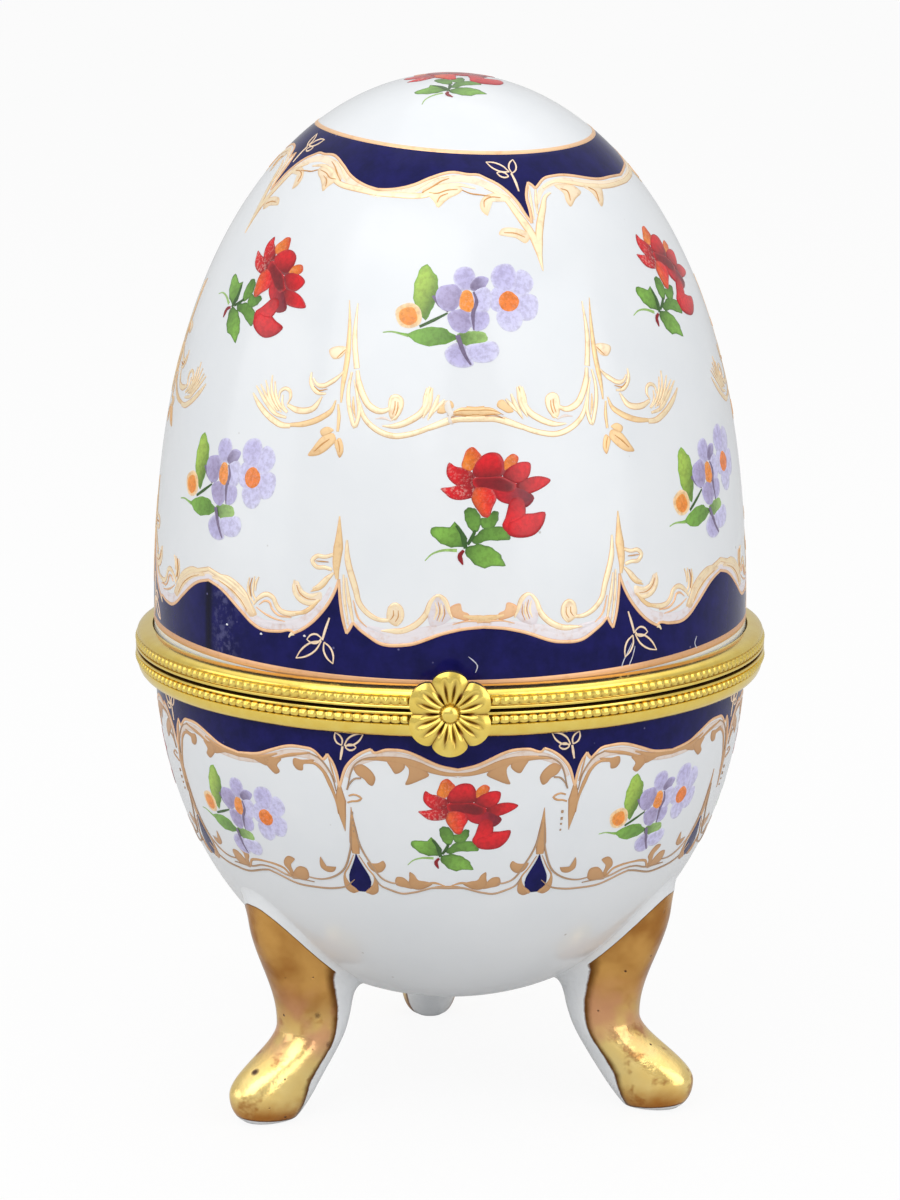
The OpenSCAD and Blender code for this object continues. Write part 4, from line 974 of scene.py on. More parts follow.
# Flower sprays in local mm: shapes are outline, hue, rim, shade, bearing of the shade, its amount and flecks
hues = {"red": lin(236, 28, 38), "scarlet": lin(214, 62, 30), "wine": lin(140, 18, 30),
        "ember": lin(240, 138, 46), "plum": lin(76, 22, 28), "damson": lin(116, 24, 44),
        "leaf": lin(136, 190, 78), "fern": lin(112, 162, 66), "moss": lin(58, 94, 40),
        "lime": lin(180, 214, 88), "sage": lin(158, 196, 112), "mist": lin(212, 210, 242),
        "lilac": lin(196, 190, 232), "pearl": lin(224, 224, 244), "heather": lin(182, 172, 212),
        "dusk": lin(122, 108, 138), "amber": lin(246, 144, 54), "straw": lin(246, 172, 80),
        "rust": lin(240, 124, 42), "cream": lin(250, 206, 146), "ivory": lin(252, 230, 198)}
redSpray = [
    ("line", [(-3.5, -5.5), (-5, -5.5), (-6.1, -5.9), (-6.8, -6.6)], [0.36, 0.1], "sage"),
    ("shape", [(-6.2, -3.4), (-5.7, -3.1), (-4.1, -3), (-3.8, -2.6), (-3.1, -3.4), (-2.6, -4.2),
     (-2.7, -4.8), (-3.8, -5.1), (-5.8, -4.1)], "leaf", "moss", "moss", -30, 0.8, 0),
    ("shape", [(-2.6, -5.5), (-1.7, -5), (1, -6.2), (1.3, -7.2), (0.4, -7.1), (-0.8, -7.3), (-2.2, -6.3)],
     "leaf", "moss", "moss", 150, 0.7, 0),
    ("shape", [(-1.9, -4.6), (-1.2, -3.7), (-0.5, -3.2), (0.7, -3.1), (1.8, -3.5), (2, -4.3), (0.7, -4.5),
     (-0.5, -4.5), (-1.2, -4.8)], "fern", "moss", "moss", 180, 0.6, 0),
    ("shape", [(-2.5, -1.2), (-1.9, -1.1), (-1, -2.5), (-1.6, -3.6), (-2.5, -2.6)], "fern", "moss", "moss",
     90, 0.6, 0),
    ("shape", [(-1, -2.2), (-0.3, -2.1), (0.3, -1.5), (0.7, -1.5), (0.8, -2.2), (-0.2, -3.3), (-0.9, -3)],
     "fern", "moss", "moss", 60, 0.8, 0),
    ("line", [(-1.6, -3.4), (-1.9, -4.1), (-2.4, -4.9)], [0.3, 0.42, 0.3], "moss"),
    ("line", [(-3.6, -2.9), (-3, -3.7), (-2.6, -5.3)], [0.2, 0.42, 0.6, 0.4], "moss"),
    ("line", [(-2.8, -5.5), (-3.2, -6), (-2.9, -7)], [0.3, 0.46, 0.5, 0.14], "wine"),
    ("shape", [(-2.9, 3.2), (-2.7, 4.2), (-2.4, 4.9), (-1.8, 5.2), (-1.2, 4.7), (-0.9, 4.3), (-1.2, 3.7),
     (-2.3, 2.8)], "ember", "scarlet", "scarlet", 30, 0.9, 0.1),
    ("shape", [(1.6, 2.8), (1.6, 3.6), (2.7, 4.4), (3.1, 4.1), (2.7, 3.2), (2.2, 3)], "ember", "scarlet",
     "scarlet", 10, 0.8, 0.1),
    ("shape", [(-1.7, 2.3), (-3, 3.1), (-3.6, 3.2), (-4.2, 3.6), (-4.5, 2.5), (-3.6, 1.4), (-1.7, 1.5)],
     "red", "wine", "plum", -20, 0.85, 0.12),
    ("shape", [(-1.6, 1.2), (-2.5, 1.4), (-4.1, 1.1), (-5.1, 0.9), (-4.7, 0.5), (-4.1, 0), (-2.5, -0.1),
     (-1.6, 0.3)], "red", "wine", "plum", 10, 0.8, 0.25),
    ("shape", [(1.5, 2.2), (1.9, 2.9), (4.4, 3.3), (4.1, 2), (3.4, 1.5)], "red", "wine", "plum", 215, 0.85,
     0),
    ("shape", [(2.8, 1.1), (4, 1.8), (5.8, 1.9), (6.5, 1.6), (5.2, 0.6), (3.4, 0.4)], "red", "wine", "plum",
     185, 0.9, 0),
    ("shape", [(-1.7, 2.5), (-1.6, 3.3), (0.2, 4.6), (0.9, 4.5), (1.5, 2.5), (-0.3, 1.9)], "red", "wine",
     "plum", -85, 0.95, 0),
    ("shape", [(0.4, 0.9), (1.2, 1.1), (2.4, 1), (3.6, 0.7), (4.6, -0.2), (3.7, -1.1), (2.8, -0.9),
     (0.8, -0.1)], "damson", "wine", "red", 190, 0.9, 0),
    ("shape", [(2.2, -0.3), (3, 0), (3.6, -0.4), (3.7, -1.3), (3.6, -2.2), (2.8, -3.1), (1.8, -3.6),
     (1.3, -2.9), (1.6, -2.2), (1.9, -1.2)], "red", "wine", "wine", 80, 0.7, 0),
    ("shape", [(1.8, -2.8), (2.8, -2.4), (3.7, -1.9), (4.4, -1.9), (5.8, -1.9), (5.7, -2.6), (4.6, -4),
     (1.8, -3.6)], "red", "wine", "wine", -80, 0.6, 0),
    ("shape", [(-1.8, 1.8), (0, 2.1), (1.2, 2.1), (2.1, 1.7), (2.8, 1.2), (2.6, 0.6), (1.5, 0.5),
     (0.3, 0.8), (-0.8, 0.9), (-1.5, 1.1)], "wine", "red", "plum", -30, 0.6, 0),
    ("shape", [(-1.6, 0.9), (0.4, 0.6), (0.6, -0.1), (0.2, -1), (-0.3, -2), (-0.8, -1.9), (-1.2, -1.4),
     (-1.9, 0.1)], "red", "wine", "ember", 190, 0.6, 0.05)]
lavenderSpray = [
    ("line", [(-8.6, -2.7), (-7.9, -2.6), (-5.9, -3)], [0.12, 0.3], "sage"),
    ("shape", [(-4.6, 4.7), (-3.3, 3.6), (-3.5, 0.3), (-4.3, -1), (-4.8, -0.7), (-5.3, 0.3), (-5.2, 3.7)],
     "lime", "fern", "moss", -25, 0.95, 0),
    ("shape", [(-7.3, -2.6), (-6.2, -2.8), (-4.5, -2.2), (-2.4, -2.2), (-1.6, -2.7), (-1, -3.1),
     (-2.4, -3.8), (-4.5, -3.9), (-6, -3)], "leaf", "fern", "moss", -10, 0.8, 0),
    ("shape", [(-0.9, -3), (0.7, -2.5), (1.6, -2.6), (2.1, -3.1), (1.9, -3.6), (1, -3.9), (-0.8, -3.7)],
     "sage", "sage", "moss", 180, 0.9, 0),
    ("line", [(-4.8, -2), (-3.4, -1.3), (-1.9, -0.5)], [0.3, 0.36, 0.2], "moss"),
    ("line", [(-3.5, 1.4), (-2.7, 0.4), (-1.8, -0.3)], [0.3, 0.5, 0.3], "dusk"),
    ("shape", [(-7.3, -0.2), (-5.8, 0.5), (-5, 0.1), (-4.9, -1.7), (-5.8, -2.1), (-6.7, -1.9)], "cream",
     "ivory", "cream", 0, 0, 0),
    ("shape", [(-7, -0.4), (-5.6, 0.1), (-5.1, -1.4), (-5.9, -1.9), (-7, -1.1)], "amber", "straw", "straw",
     120, 0.5, 0.05),
    ("shape", [(5.4, 3.1), (6.5, 4.1), (7.3, 3.7), (7.7, 2.8), (6.5, 1.3), (5.4, 1.4)], "mist", "pearl",
     "lilac", 200, 0.6, 0),
    ("shape", [(5.4, 0.7), (6.5, 1.4), (7.7, 1.1), (7.2, -1.2), (6.3, -1.4), (5.5, -0.9)], "mist", "pearl",
     "lilac", 150, 0.6, 0),
    ("shape", [(3, 3.4), (3.5, 4.4), (5.4, 4.6), (5.8, 3.8), (5, 1.7), (4, 1.7)], "lilac", "pearl", "mist",
     -80, 0.6, 0),
    ("shape", [(3.3, -0.9), (3.8, -0.1), (5.2, 0), (5.9, -0.7), (5.8, -1.8), (5, -2.5), (4.1, -2.4)],
     "mist", "pearl", "lilac", 90, 0.6, 0),
    ("shape", [(2.8, 1.6), (3.2, 2.1), (4.3, 1.9), (3.6, -0.4), (2.9, -0.1)], "mist", "mist", "lilac", 0,
     0.7, 0),
    ("shape", [(-1.2, 3.4), (-0.9, 4.2), (0.7, 4.4), (1.1, 3.7), (0.5, 2.1), (-0.2, 2)], "lilac", "pearl",
     "dusk", -60, 0.3, 0),
    ("shape", [(0.5, 2.3), (1, 3.2), (1.8, 3.5), (2.6, 3.2), (2.3, 2.5), (1.6, 1.8)], "dusk", "lilac",
     "lilac", 30, 0.9, 0),
    ("shape", [(0.8, 1.6), (2.2, 2.3), (2.8, 1.7), (2, -0.4), (1.2, -0.2)], "mist", "pearl", "lilac", 200,
     0.8, 0),
    ("shape", [(-3.1, 1.6), (-2.7, 2.3), (-2, 2.5), (-0.9, 2.5), (-0.4, 1.6), (-1.5, -0.2), (-2.3, -0.1)],
     "heather", "lilac", "dusk", -30, 0.5, 0),
    ("shape", [(-1.8, -0.7), (-0.1, -0.2), (0.6, -0.8), (-0.2, -2.6), (-1.2, -2.3)], "heather", "lilac",
     "dusk", 40, 0.45, 0),
    ("shape", [(0.4, -0.6), (2.3, -0.6), (2.4, -1.4), (2, -2.1), (1, -2.4)], "lilac", "mist", "dusk", 160,
     0.45, 0),
    ("line", [(0.9, 1.8), (1.2, 0.8), (0.8, -0.4), (0.8, -2.4)], [0.2, 0.44, 0.4, 0.12], "dusk"),
    ("shape", [(0.1, 2), (0.7, 1.6), (0.9, 0.8), (0.8, 0), (0.1, -0.4), (-0.4, -0.1), (-0.4, 1.6)], "amber",
     "straw", "straw", 90, 0.3, 0.15),
    ("shape", [(4.7, 1.8), (5.8, 0.7), (5.4, -0.1), (4.7, -0.4), (3.9, -0.1), (3.6, 0.7), (3.9, 1.4)],
     "rust", "amber", "amber", 120, 0.5, 0.1),
    ("shape", [(-2.1, -4.8), (-0.9, -3.8), (-0.1, -4.1), (0.1, -5), (0.6, -6), (-0.1, -6.3), (-1.8, -5.7)],
     "lilac", "pearl", "dusk", 60, 0.45, 0),
    ("shape", [(-0.1, -4.3), (1.5, -3.8), (2.9, -3.8), (3.2, -4.7), (2.7, -5.5), (0.2, -5.3)], "mist",
     "pearl", "lilac", 160, 0.7, 0),
    ("line", [(-0.9, -2.9), (-0.1, -5.2), (0.4, -6.1)], [0.5, 0.43, 0.2], "dusk")]


# Paint one spray: every mark is a thin plate, each a little higher than the last; leaves have ragged edges
sprayPaint = {"top": 0.012, "step": 0.003, "ragged": 0.045, "leaves": ("leaf", "fern", "lime", "sage")}


def paintSpray(layer, marks, spot, scale, turn=0.0):
    c, s = math.cos(math.radians(turn)), math.sin(math.radians(turn))
    for k, (kind, points, *rest) in enumerate(marks):
        top = sprayPaint["top"] + sprayPaint["step"] * k
        place = np.array(points) @ np.array([[c, s], [-s, c]]) * scale
        if kind == "line":
            widths, hue = rest
            layer.sweep(through(place), np.array(widths) * scale, spot, plateSection, top, hues[hue], 0.0)
        else:
            ragged = sprayPaint["ragged"] if rest[0] in sprayPaint["leaves"] else 0.0
            layer.shape(place, spot, top, *(hues[name] for name in rest[:3]), *rest[3:], ragged)


# Rows of sprays: bearing, height, kind and turn
upperRow = [(-46.8, 93.1, "red", -31.5), (3.4, 91.6, "lavender", 0.0), (61.6, 93.7, "red", -18.2),
            (123.9, 91.6, "lavender", 0.0), (187.0, 92.5, "red", -20.0), (250.0, 91.6, "lavender", 0.0)]
lowerRow = [(-48.6, 72.7, "lavender", 2.5), (7.4, 72.8, "red", 0.0), (59.6, 72.0, "lavender", 8.6),
            (122.0, 72.8, "red", 0.0), (186.4, 72.5, "lavender", 5.0), (250.9, 72.8, "red", 0.0)]
bowlRow = [(-46.1, 37.1, "lavender", -8.0), (2.3, 38.9, "red", 0.0), (44.2, 37.9, "lavender", -2.0),
           (90.0, 38.9, "red", 0.0), (135.0, 37.9, "lavender", -4.0), (180.0, 38.9, "red", 0.0),
           (225.0, 37.9, "lavender", -4.0), (270.0, 38.9, "red", 0.0)]
lidSprays, bowlSprays = Layer(), Layer()
sprays = {"red": redSpray, "lavender": lavenderSpray}
for layer, half, row, radius, scale in ((lidSprays, lidHalf, upperRow, 27.0, 0.97),
                                        (lidSprays, lidHalf, lowerRow, 32.0, 0.98),
                                        (bowlSprays, bowlHalf, bowlRow, 31.5, 0.87)):
    for az0, z0, kind, turn in row:
        paintSpray(layer, sprays[kind], spotOn(half, az0, z0, radius), scale, turn)


# The top spray lies just before the pole: distance from the pole is arc length, up the page is to the back
def onPole(x, y, lift, forward=2.6):
    y = y - forward
    return lidHalf.at(np.arctan2(x, -y), lidHalf.s[-1] - np.hypot(x, y), lift)


paintSpray(lidSprays, redSpray, onPole, 0.92, 25.0)
lidSprays.piece("lidSprays", "lid", "porcelain", enamel, "speck")
bowlSprays.piece("bowlSprays", "base", "porcelain", enamel, "speck")
print("stage: sprays made")

# Bands: profiles of radius and height from the parting line, run down on the outside. Each has a channel for
# its beading, cut to the floor's radius. Painted shade is darkest in the channel and in the mouth of the gap
groove = [(34.5, 1.47), (34.5, 0.53), (34.74, 0.5), (34.92, 0.46), (34.98, 0.38), (34.98, 0.28),
          (34.93, 0.19), (34.8, 0.14), (33.5, 0.14), (32.7, 0.14), (29.8, 0.14), (29.8, 2.39), (30.3, 2.39),
          (30.3, 0.72), (33.1, 0.72)]
bands = {"rim": 51.2, "channel": 34.5, "floor": {"lid": 34.72, "base": 34.5},
         "paintedDark": {"lid": 0.35, "base": 1.0}, "gap": 0.16, "mouth": 32.7, "mouthDeep": 0.8, "columns": 360,
         "lid": [(33.1, 2.38), (33.5, 2.35), (34.0, 2.26), (34.4, 2.12), (34.65, 1.94), (34.78, 1.74),
                 (34.82, 1.6), (34.76, 1.5)] + groove,
         "base": [(33.1, 3.09), (33.5, 3.08), (33.75, 3.04), (34.05, 2.92), (34.3, 2.72), (34.52, 2.45),
                  (34.68, 2.12), (34.76, 1.8), (34.78, 1.58), (34.7, 1.5)] + groove}
for body, side in (("lid", 1), ("base", -1)):
    profile = np.array(bands[body])
    channel = profile[:, 0] == bands["channel"]
    # Painted shade: dark in the beading's channel and at the mouth of the gap between the bands
    inGap = np.clip((profile[:, 0] - bands["mouth"]) / bands["mouthDeep"], 0.1, 0.9)
    paintedShade = np.where(channel, bands["paintedDark"][body], np.where(profile[:, 1] < bands["gap"], inGap, 0.0))
    profile[channel, 0] = bands["floor"][body]
    profile = profile * [1, side] + [0, bands["rim"]]
    points, faces, uv = turnedLoop(profile[::side], bands["columns"])
    addPiece(body + "Band", body, brass, points, faces, uv,
             masks={"paintedShade": np.repeat(paintedShade[::side], bands["columns"])}, stands=[body + "_bezel"])

# Beading: two arcs of wire that leave out the hinge and the clasp, whose half widths are given
beads = {"count": 100, "steps": 6, "around": 8, "end": 0.05, "radius": 34.6, "hinge": 6.05, "clasp": 2.06,
         "lid": {"r": 34.62, "z": 52.18, "deep": 0.42, "tall": 0.5, "neck": 0.6, "power": 0.8, "hold": 0.9,
                 "dark": 0.9, "shadow": 0.7},
         "base": {"r": 34.6, "z": 50.2, "deep": 0.47, "tall": 0.5, "neck": 0.6, "power": 0.6, "hold": 0.4,
                  "dark": 1.0, "shadow": 0.35}}


# Beaded wire between two bearings: a tube whose radius swells with each bead as |sin|^power
def beadedArc(start, end, shape):
    steps, around = beads["count"] * beads["steps"], beads["around"]
    u = np.linspace(0, 1, steps + 1)
    az = (start + (end - start) * u)[:, None]
    swell = np.abs(np.sin(np.pi * beads["count"] * u)) ** shape["power"]
    swell = shape["neck"] + (1 - shape["neck"]) * swell
    swell = np.where((u == 0) | (u == 1), beads["end"], swell)[:, None]
    i = np.arange(around)
    a = i * 2 * np.pi / around
    r = shape["r"] + shape["deep"] * swell * np.cos(a)
    z = shape["z"] + shape["tall"] * (shape["hold"] + (1 - shape["hold"]) * swell) * np.sin(a)
    points = np.stack([r * np.sin(az), -r * np.cos(az), z], -1).reshape(-1, 3)
    caps = np.stack([i, (i + steps * around)[::-1]])
    # Painted shade: darker between the beads, on the wire's inner side and under it
    dark = shape["dark"] * (1 - swell) / (1 - shape["neck"]) * (0.3 + 0.7 * np.abs(np.sin(a)))
    dark = dark - 0.6 * np.cos(a) + shape["shadow"] * np.clip(-np.sin(a), 0, 1)
    return points, gridQuads(steps + 1, around), caps, np.clip(dark, 0, 1).ravel()


pastHinge, pastClasp = (math.asin(beads[end] / beads["radius"]) for end in ("hinge", "clasp"))
for body in ("lid", "base"):
    arcs = [beadedArc(pastClasp, math.pi - pastHinge, beads[body]),
            beadedArc(math.pi + pastHinge, 2 * math.pi - pastClasp, beads[body])]
    points, quads, caps, dark = zip(*arcs)
    shift = len(points[0])
    addPiece(body + "Beading", body, brass, np.concatenate(points),
             [np.concatenate([first, second + shift]) for first, second in (quads, caps)],
             masks={"paintedShade": np.concatenate(dark)}, stands=[body + "_beading"])
print("stage: bands made")

# Rosette: petals as |cos| lobes, each domed as a parabola along its length and cut by radial grooves, with a
# round boss in the middle
rosette = {"radius": 4.46, "valley": 0.8, "back": -35.66, "z": bands["rim"], "plate": 0.6, "swell": 0.5,
           "crest": 0.66, "crestHalf": 0.44, "boss": 0.92, "bossLow": 0.2, "bossHigh": 0.45, "groove": 0.3,
           "cutFrom": 0.2, "cutLong": 0.5, "cutMore": 0.2, "petals": 6, "grooves": 18, "sides": 288,
           "rings": 40}
sides, rings = rosette["sides"], rosette["rings"]
a = np.arange(sides) * 2 * np.pi / sides
u = (np.arange(1, rings + 1) / rings)[:, None]
lobe = np.abs(np.cos(rosette["petals"] / 2 * (a - np.pi / 2)))
rim = rosette["radius"] * (rosette["valley"] + (1 - rosette["valley"]) * lobe ** 0.5)
bossAt = rosette["boss"] / rim
rise = np.clip(1 - ((u - rosette["crest"]) / rosette["crestHalf"]) ** 2, 0, 1)
cutLength = rosette["cutLong"] + rosette["cutMore"] * lobe
cutShare = np.sin(np.pi * np.clip((u - rosette["cutFrom"]) / cutLength, 0, 1))
cutShare = cutShare * (1 - np.abs(np.cos(rosette["grooves"] / 2 * (a - np.pi / 2)))) ** 1.1
front = rosette["swell"] * rise * (0.5 + 0.5 * lobe ** 0.6) - rosette["groove"] * cutShare
dome = rosette["bossLow"] + rosette["bossHigh"] * np.sqrt(np.clip(1 - (u / bossAt) ** 2, 0, 1))
high = rosette["plate"] + np.maximum(front, np.where(u < bossAt, dome, -1))
flat = u * rim
face = np.stack([flat * np.cos(a), rosette["back"] - high, rosette["z"] + flat * np.sin(a)], -1)
back = np.stack([rim * np.cos(a), np.full_like(a, rosette["back"]), rosette["z"] + rim * np.sin(a)], -1)[None]
top = rosette["plate"] + rosette["bossLow"] + rosette["bossHigh"]
hubs = [[0, rosette["back"] - top, rosette["z"]], [0, rosette["back"], rosette["z"]]]
points = np.concatenate([np.concatenate([face, back]).reshape(-1, 3), hubs])
hub = (rings + 1) * sides
faces = [gridQuads(rings + 1, sides), fan(hub, 0, sides), fan(hub + 1, rings, sides, True)]
# Painted shade: darker in the grooves, round the boss, in the valleys between petals and on the back edge
hollow = cutShare + 0.6 * np.clip(1 - np.abs(u - bossAt * 1.06) / 0.05, 0, 1)
hollow = hollow + 0.8 * (1 - lobe) ** 6 * (u > 0.3)
paintedShade = np.concatenate([np.clip(hollow, 0, 1).ravel(), np.full(sides, 0.3), [0.0, 0.0]])
addPiece("claspRosette", "lid", brass, points, faces, masks={"paintedShade": paintedShade},
         stands=["clasp_rosette"], crease=60.0)
print("stage: rosette made")

# Legs: superellipses from the sole up to the bowl, as in the part's source. First the heights, then reach and
# width at each, the heel's curve, the fillet, the seat's range of heights and the counts of points
legs = {"legFrontLeft": ("leg_front_left", -54.0), "legFrontRight": ("leg_front_right", 66.0),
        "legBack": ("leg_back", 186.0)}
leg = {"toe": 3.3, "waist": 10.0, "knee": 24.1, "roll": 2.6, "toeOut": 29.4, "waistOut": 22.8,
       "kneeStep": 1.1, "toeWide": 6.6, "waistWide": 7.4, "kneeWide": 8.8, "heel": 14.3, "heelSweep": 7.3,
       "heelTop": 13, "heelPower": 1.6, "power": 2.2, "fillet": 1.6, "filletTall": 1.7, "filletWide": 1.3,
       "sink": 0.22, "capSink": 0.5, "hubSink": 0.3, "gap": 0.02, "seat": (11.1, 28.5), "sides": 96,
       "lowRows": 70, "highRows": 40, "capRows": 6}


# The bowl's radius at a height: radius (1 - v^bowlPower)^(1 / bowlSide), v the share of its drop
def bowlRadius(z):
    v = np.clip((egg["bowlTop"] - z) / egg["bowlDrop"], 0, 1)
    return egg["radius"] * (1 - v ** egg["bowlPower"]) ** (1 / egg["bowlSide"])


# From first to second along half a cosine wave
def blend(first, second, s):
    return first + (second - first) * (1 - np.cos(np.pi * np.clip(s, 0, 1))) / 2


# The section's point at height z and angle t, 0 facing out: a superellipse between front and rear; the toe is
# rolled in by a quarter round
def legPoint(z, t):
    turn = 1 - np.sqrt(np.clip(1 - np.clip(1 - z / leg["toe"], 0, 1) ** 2, 0, 1))
    high = (z - leg["waist"]) / (leg["knee"] - leg["waist"])
    low = (z - leg["toe"]) / (leg["waist"] - leg["toe"])
    upper = blend(leg["waistOut"], bowlRadius(leg["knee"]) + leg["kneeStep"], high)
    lower = blend(leg["toeOut"], leg["waistOut"], low) - leg["roll"] * turn
    front = np.where(z > leg["waist"], upper, lower)
    rear = leg["heel"] + leg["heelSweep"] * np.clip(1 - z / leg["heelTop"], 0, 1) ** leg["heelPower"]
    wide = np.where(z > leg["waist"], blend(leg["waistWide"], leg["kneeWide"], high),
                    blend(leg["toeWide"], leg["waistWide"], low)) / 2 - 0.6 * leg["roll"] * turn
    c, s, power = np.cos(t), np.sin(t), 2 / leg["power"]
    out = (front + rear) / 2 + (front - rear) / 2 * np.sign(c) * np.abs(c) ** power
    return out, wide * np.sign(s) * np.abs(s) ** power


# Halve the range of heights until each line of the leg ends just outside the bowl
sides = leg["sides"]
t = np.arange(sides) * 2 * np.pi / sides
low, high = (np.full(sides, end) for end in leg["seat"])
for halving in range(40):
    mid = (low + high) / 2
    x, y = legPoint(mid, t)
    outside = np.hypot(x, y) > bowlRadius(mid) + leg["gap"]
    low, high = np.where(outside, mid, low), np.where(outside, high, mid)
lowShare, highShare = np.linspace(0, 0.84, leg["lowRows"]), np.linspace(0.845, 1, leg["highRows"])
z = low * np.concatenate([lowShare, highShare])[:, None]
x, y = legPoint(z, t)
fromTop = low - z

# Luting fillet: near the bowl each line slides out along the bowl's skin by a quarter round
tiny = 0.01
slope = (bowlRadius(z + tiny) - bowlRadius(z - tiny)) / (2 * tiny)
size = np.sqrt(1 + slope ** 2)
reach = np.hypot(x, y)
skinward = np.stack([x / reach / size, y / reach / size, -slope / size], -1)
outward = np.stack([np.cos(t) + 0 * z, np.sin(t) * leg["filletWide"] + 0 * z, 0 * z], -1)
slide = outward - (outward * skinward).sum(-1, keepdims=True) * skinward
slide /= np.maximum(np.linalg.norm(slide, axis=-1, keepdims=True), 1e-6)
near = np.clip(1 - fromTop / (leg["filletTall"] * leg["fillet"]), 0, 1)
grow = leg["fillet"] * (1 - np.sqrt(1 - near ** 2))
sink = leg["sink"] * np.clip(near * 3 - 2, 0, 1)
shaft = np.stack([x, y, z], -1) + slide * grow[..., None] - skinward * sink[..., None]

# The top is closed by rings just inside the bowl's skin, the sole by a fan
topX, topY, topZ = shaft[-1].T
topBearing, midZ = np.arctan2(topY, topX), (topZ[0] + topZ[sides // 2]) / 2
inner = np.linspace(0, 1, leg["capRows"] + 1)[1:-1, None]
capZ, capBearing = topZ * (1 - inner) + midZ * inner, topBearing * (1 - inner)
capR = bowlRadius(capZ) - leg["capSink"]
cap = np.stack([capR * np.cos(capBearing), capR * np.sin(capBearing), capZ], -1)
hubs = np.array([[bowlRadius(midZ) - leg["hubSink"], 0, midZ], [shaft[0, :, 0].mean(), 0, 0]])
outline = np.concatenate([np.concatenate([shaft, cap]).reshape(-1, 3), hubs])
rows = len(shaft) + len(cap)
hub = rows * sides
legFaces = [gridQuads(rows, sides)[:, ::-1], fan(hub, rows - 1, sides), fan(hub + 1, 0, sides, True)]

# Gold lies on the front and flanks, and stops short of the bowl, the heel and the underside of the toe. The
# flank's limit is an angle at each height, and a higher edge value makes a sharper edge
legGilt = {"heights": [0, 4, 9.5, 16, 25], "flank": [2.3, 2.0, 1.75, 1.66, 1.72], "flankEdge": 1.6,
           "top": 1.1, "topSlant": 0.25, "topEdge": 2.5, "sole": 0.45, "soleSlant": 0.5, "soleEdge": 1.2}
away, z = np.abs((t + np.pi) % (2 * np.pi) - np.pi), shaft[..., 2]
flank = (np.interp(z, legGilt["heights"], legGilt["flank"]) - away) * legGilt["flankEdge"]
top = (fromTop - legGilt["top"] + legGilt["topSlant"] * away) * legGilt["topEdge"]
sole = (z - legGilt["sole"] - legGilt["soleSlant"] * np.cos(t)) * legGilt["soleEdge"]
gilt = np.min([np.clip(0.5 + edge, 0, 1) for edge in (flank, top, sole)], 0)
gilt = np.concatenate([gilt.ravel(), np.zeros(cap.shape[0] * sides + len(hubs))])
for name, (node, bearing) in legs.items():
    c, s = math.cos(math.radians(bearing)), math.sin(math.radians(bearing))
    points = np.stack([outline[:, 0] * s + outline[:, 1] * c, -outline[:, 0] * c + outline[:, 1] * s,
                       outline[:, 2]], -1)
    addPiece(name, "base", legGold, points, legFaces, masks={"gilt": gilt}, stands=[node],
             crease=70.0)
print("stage: legs made")

# Nodes shown as the part has them
asBuilt = ((brass, ("lid_hinge_leaf", "base_hinge_leaf", "hinge_pin", "clasp_tongue", "catch_stud")),
           (mortar, ("lid_cement", "base_cement")))
for finish, nodes in asBuilt:
    for node in nodes:
        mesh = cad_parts[node].data
        mesh.materials.clear()
        mesh.materials.append(finish.material)

# Studio: pale floor, soft lamps, white behind
floorMesh = bpy.data.meshes.new("studioFloor")
floorMesh.from_pydata([(-9, -9, 0), (9, -9, 0), (9, 9, 0), (-9, 9, 0)], [], [(0, 1, 2, 3)])
floor = bpy.data.objects.new("studioFloor", floorMesh)
scene.collection.objects.link(floor)
paper = Finish("paperFloor", {"Roughness": 0.8})
glow = paper.start.node("ShaderNodeEmission", None, {"Color": (1.0, 1.0, 1.0), "Strength": 1.0})
seen = paper.start.node("ShaderNodeLightPath")
shiny = Sock(paper.tree, seen.socket.node.outputs["Is Glossy Ray"])
sheet = paper.noise(60.0).mixed((0.58, 0.58, 0.58), (0.62, 0.62, 0.62))
paper.feed("Base Color", seen.math("MAXIMUM", seen, shiny * 0.3).mixed(sheet, (0.9, 0.9, 0.9)))
matt = Sock(paper.tree, paper.shader.outputs[0])
cover = paper.start.node("ShaderNodeMixShader", None, {0: seen * 0.9, 1: matt, 2: glow})
paper.tree.links.new(cover.socket, paper.tree.nodes["Material Output"].inputs[0])
floorMesh.materials.append(paper.material)

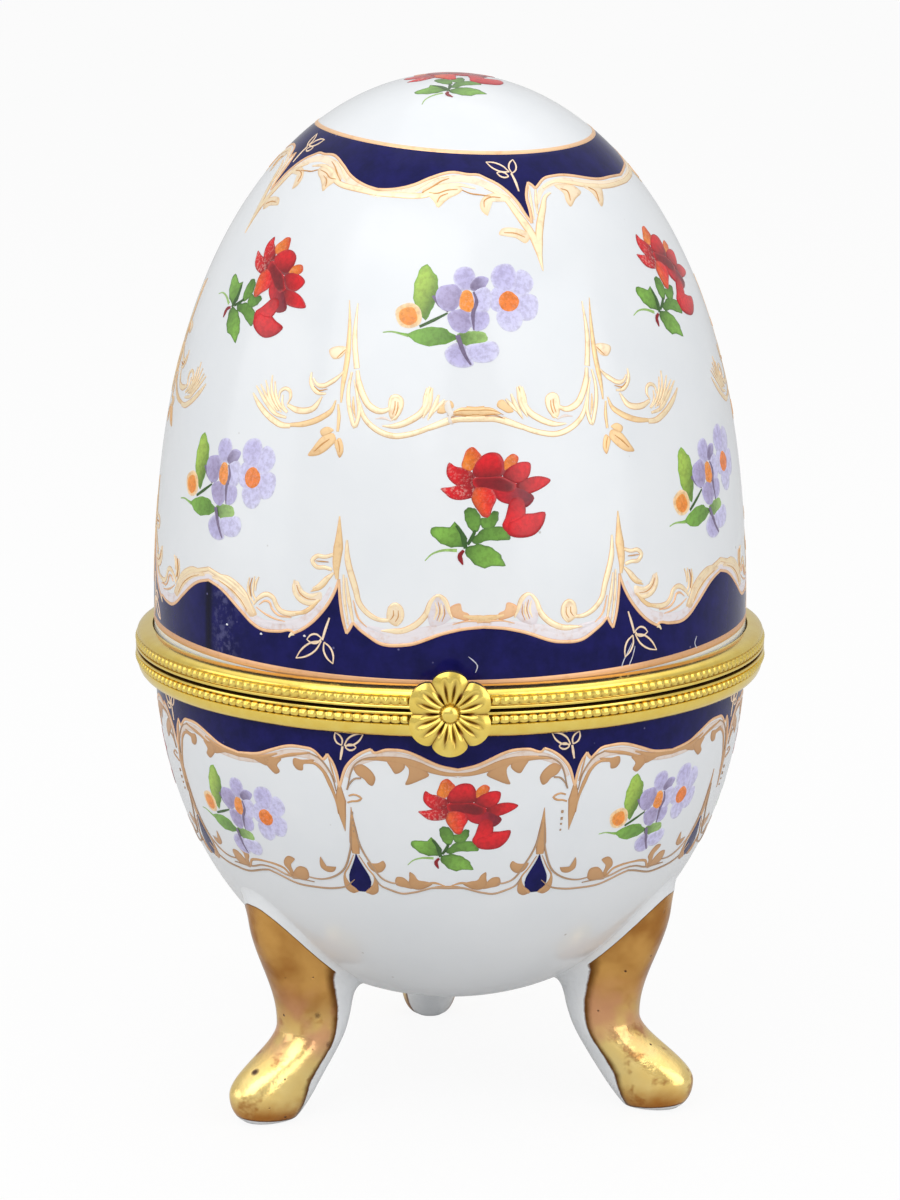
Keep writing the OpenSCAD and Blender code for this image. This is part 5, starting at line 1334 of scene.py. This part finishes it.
world = bpy.data.worlds.new("studioWorld")
world.use_nodes = True
scene.world = world
sky = Sock(world.node_tree, None)
path = world.node_tree.nodes.new("ShaderNodeLightPath")
camera, glossy, beyond = (Sock(world.node_tree, path.outputs["Is %s Ray" % kind])
                          for kind in ("Camera", "Glossy", "Transmission"))
way = sky.node("ShaderNodeSeparateXYZ", None, {0: sky.node("ShaderNodeTexCoord", out=0)}, 2)
level = way.node("ShaderNodeMapRange", None, {
    "Value": way, "From Min": -0.25, "From Max": 0.85, "To Min": 0.46, "To Max": 0.74})
back = camera.math("MAXIMUM", camera, beyond)
lit = level.math("MAXIMUM", level * (1 + 0.8 * glossy * way.above(0.65, 0.25)), glossy * 0.6)
strength = back + (1 - back) * lit
backdrop = world.node_tree.nodes["Background"]
world.node_tree.links.new(strength.socket, backdrop.inputs["Strength"])
backdrop.inputs["Color"].default_value = (1.0, 1.0, 1.0, 1.0)

# Lamps: place, size and power, all aimed at the middle of the egg
middle = np.array([0, 0, 0.055])
lamps = {"keyLamp": ((-0.32, -0.6, 0.6), 0.8, 2.75), "fillLamp": ((0.55, -0.5, 0.26), 0.7, 2.0),
         "topLamp": ((0.05, 0.15, 0.85), 0.6, 0.6), "sideLamp": ((-0.75, -0.12, 0.18), 0.5, 0.8)}
for name, (place, size, power) in lamps.items():
    data = bpy.data.lights.new(name, "AREA")
    data.size, data.energy = size, power
    lamp = bpy.data.objects.new(name, data)
    scene.collection.objects.link(lamp)
    lamp.location = place
    x, y, z = middle - place
    lamp.rotation_euler = (math.atan2(math.hypot(x, y), -z), 0, math.atan2(y, x) - math.pi / 2)

# Camera at the photo's angle
shot = {"distance": 0.4, "elevation": 11.65, "aim": 0.05561, "lens": 107.6, "sensor": 36.0, "nearest": 0.01}
data = bpy.data.cameras.new("photoCamera")
data.lens, data.sensor_width, data.clip_start = shot["lens"], shot["sensor"], shot["nearest"]
photoCamera = bpy.data.objects.new("photoCamera", data)
scene.collection.objects.link(photoCamera)
rise = math.radians(shot["elevation"])
across, up = shot["distance"] * math.cos(rise), shot["distance"] * math.sin(rise)
photoCamera.location = (0, -across, shot["aim"] + up)
photoCamera.rotation_euler = (math.pi / 2 - rise, 0, 0)
scene.camera = photoCamera
scene.view_settings.view_transform = "Standard"
print("stage: studio set")
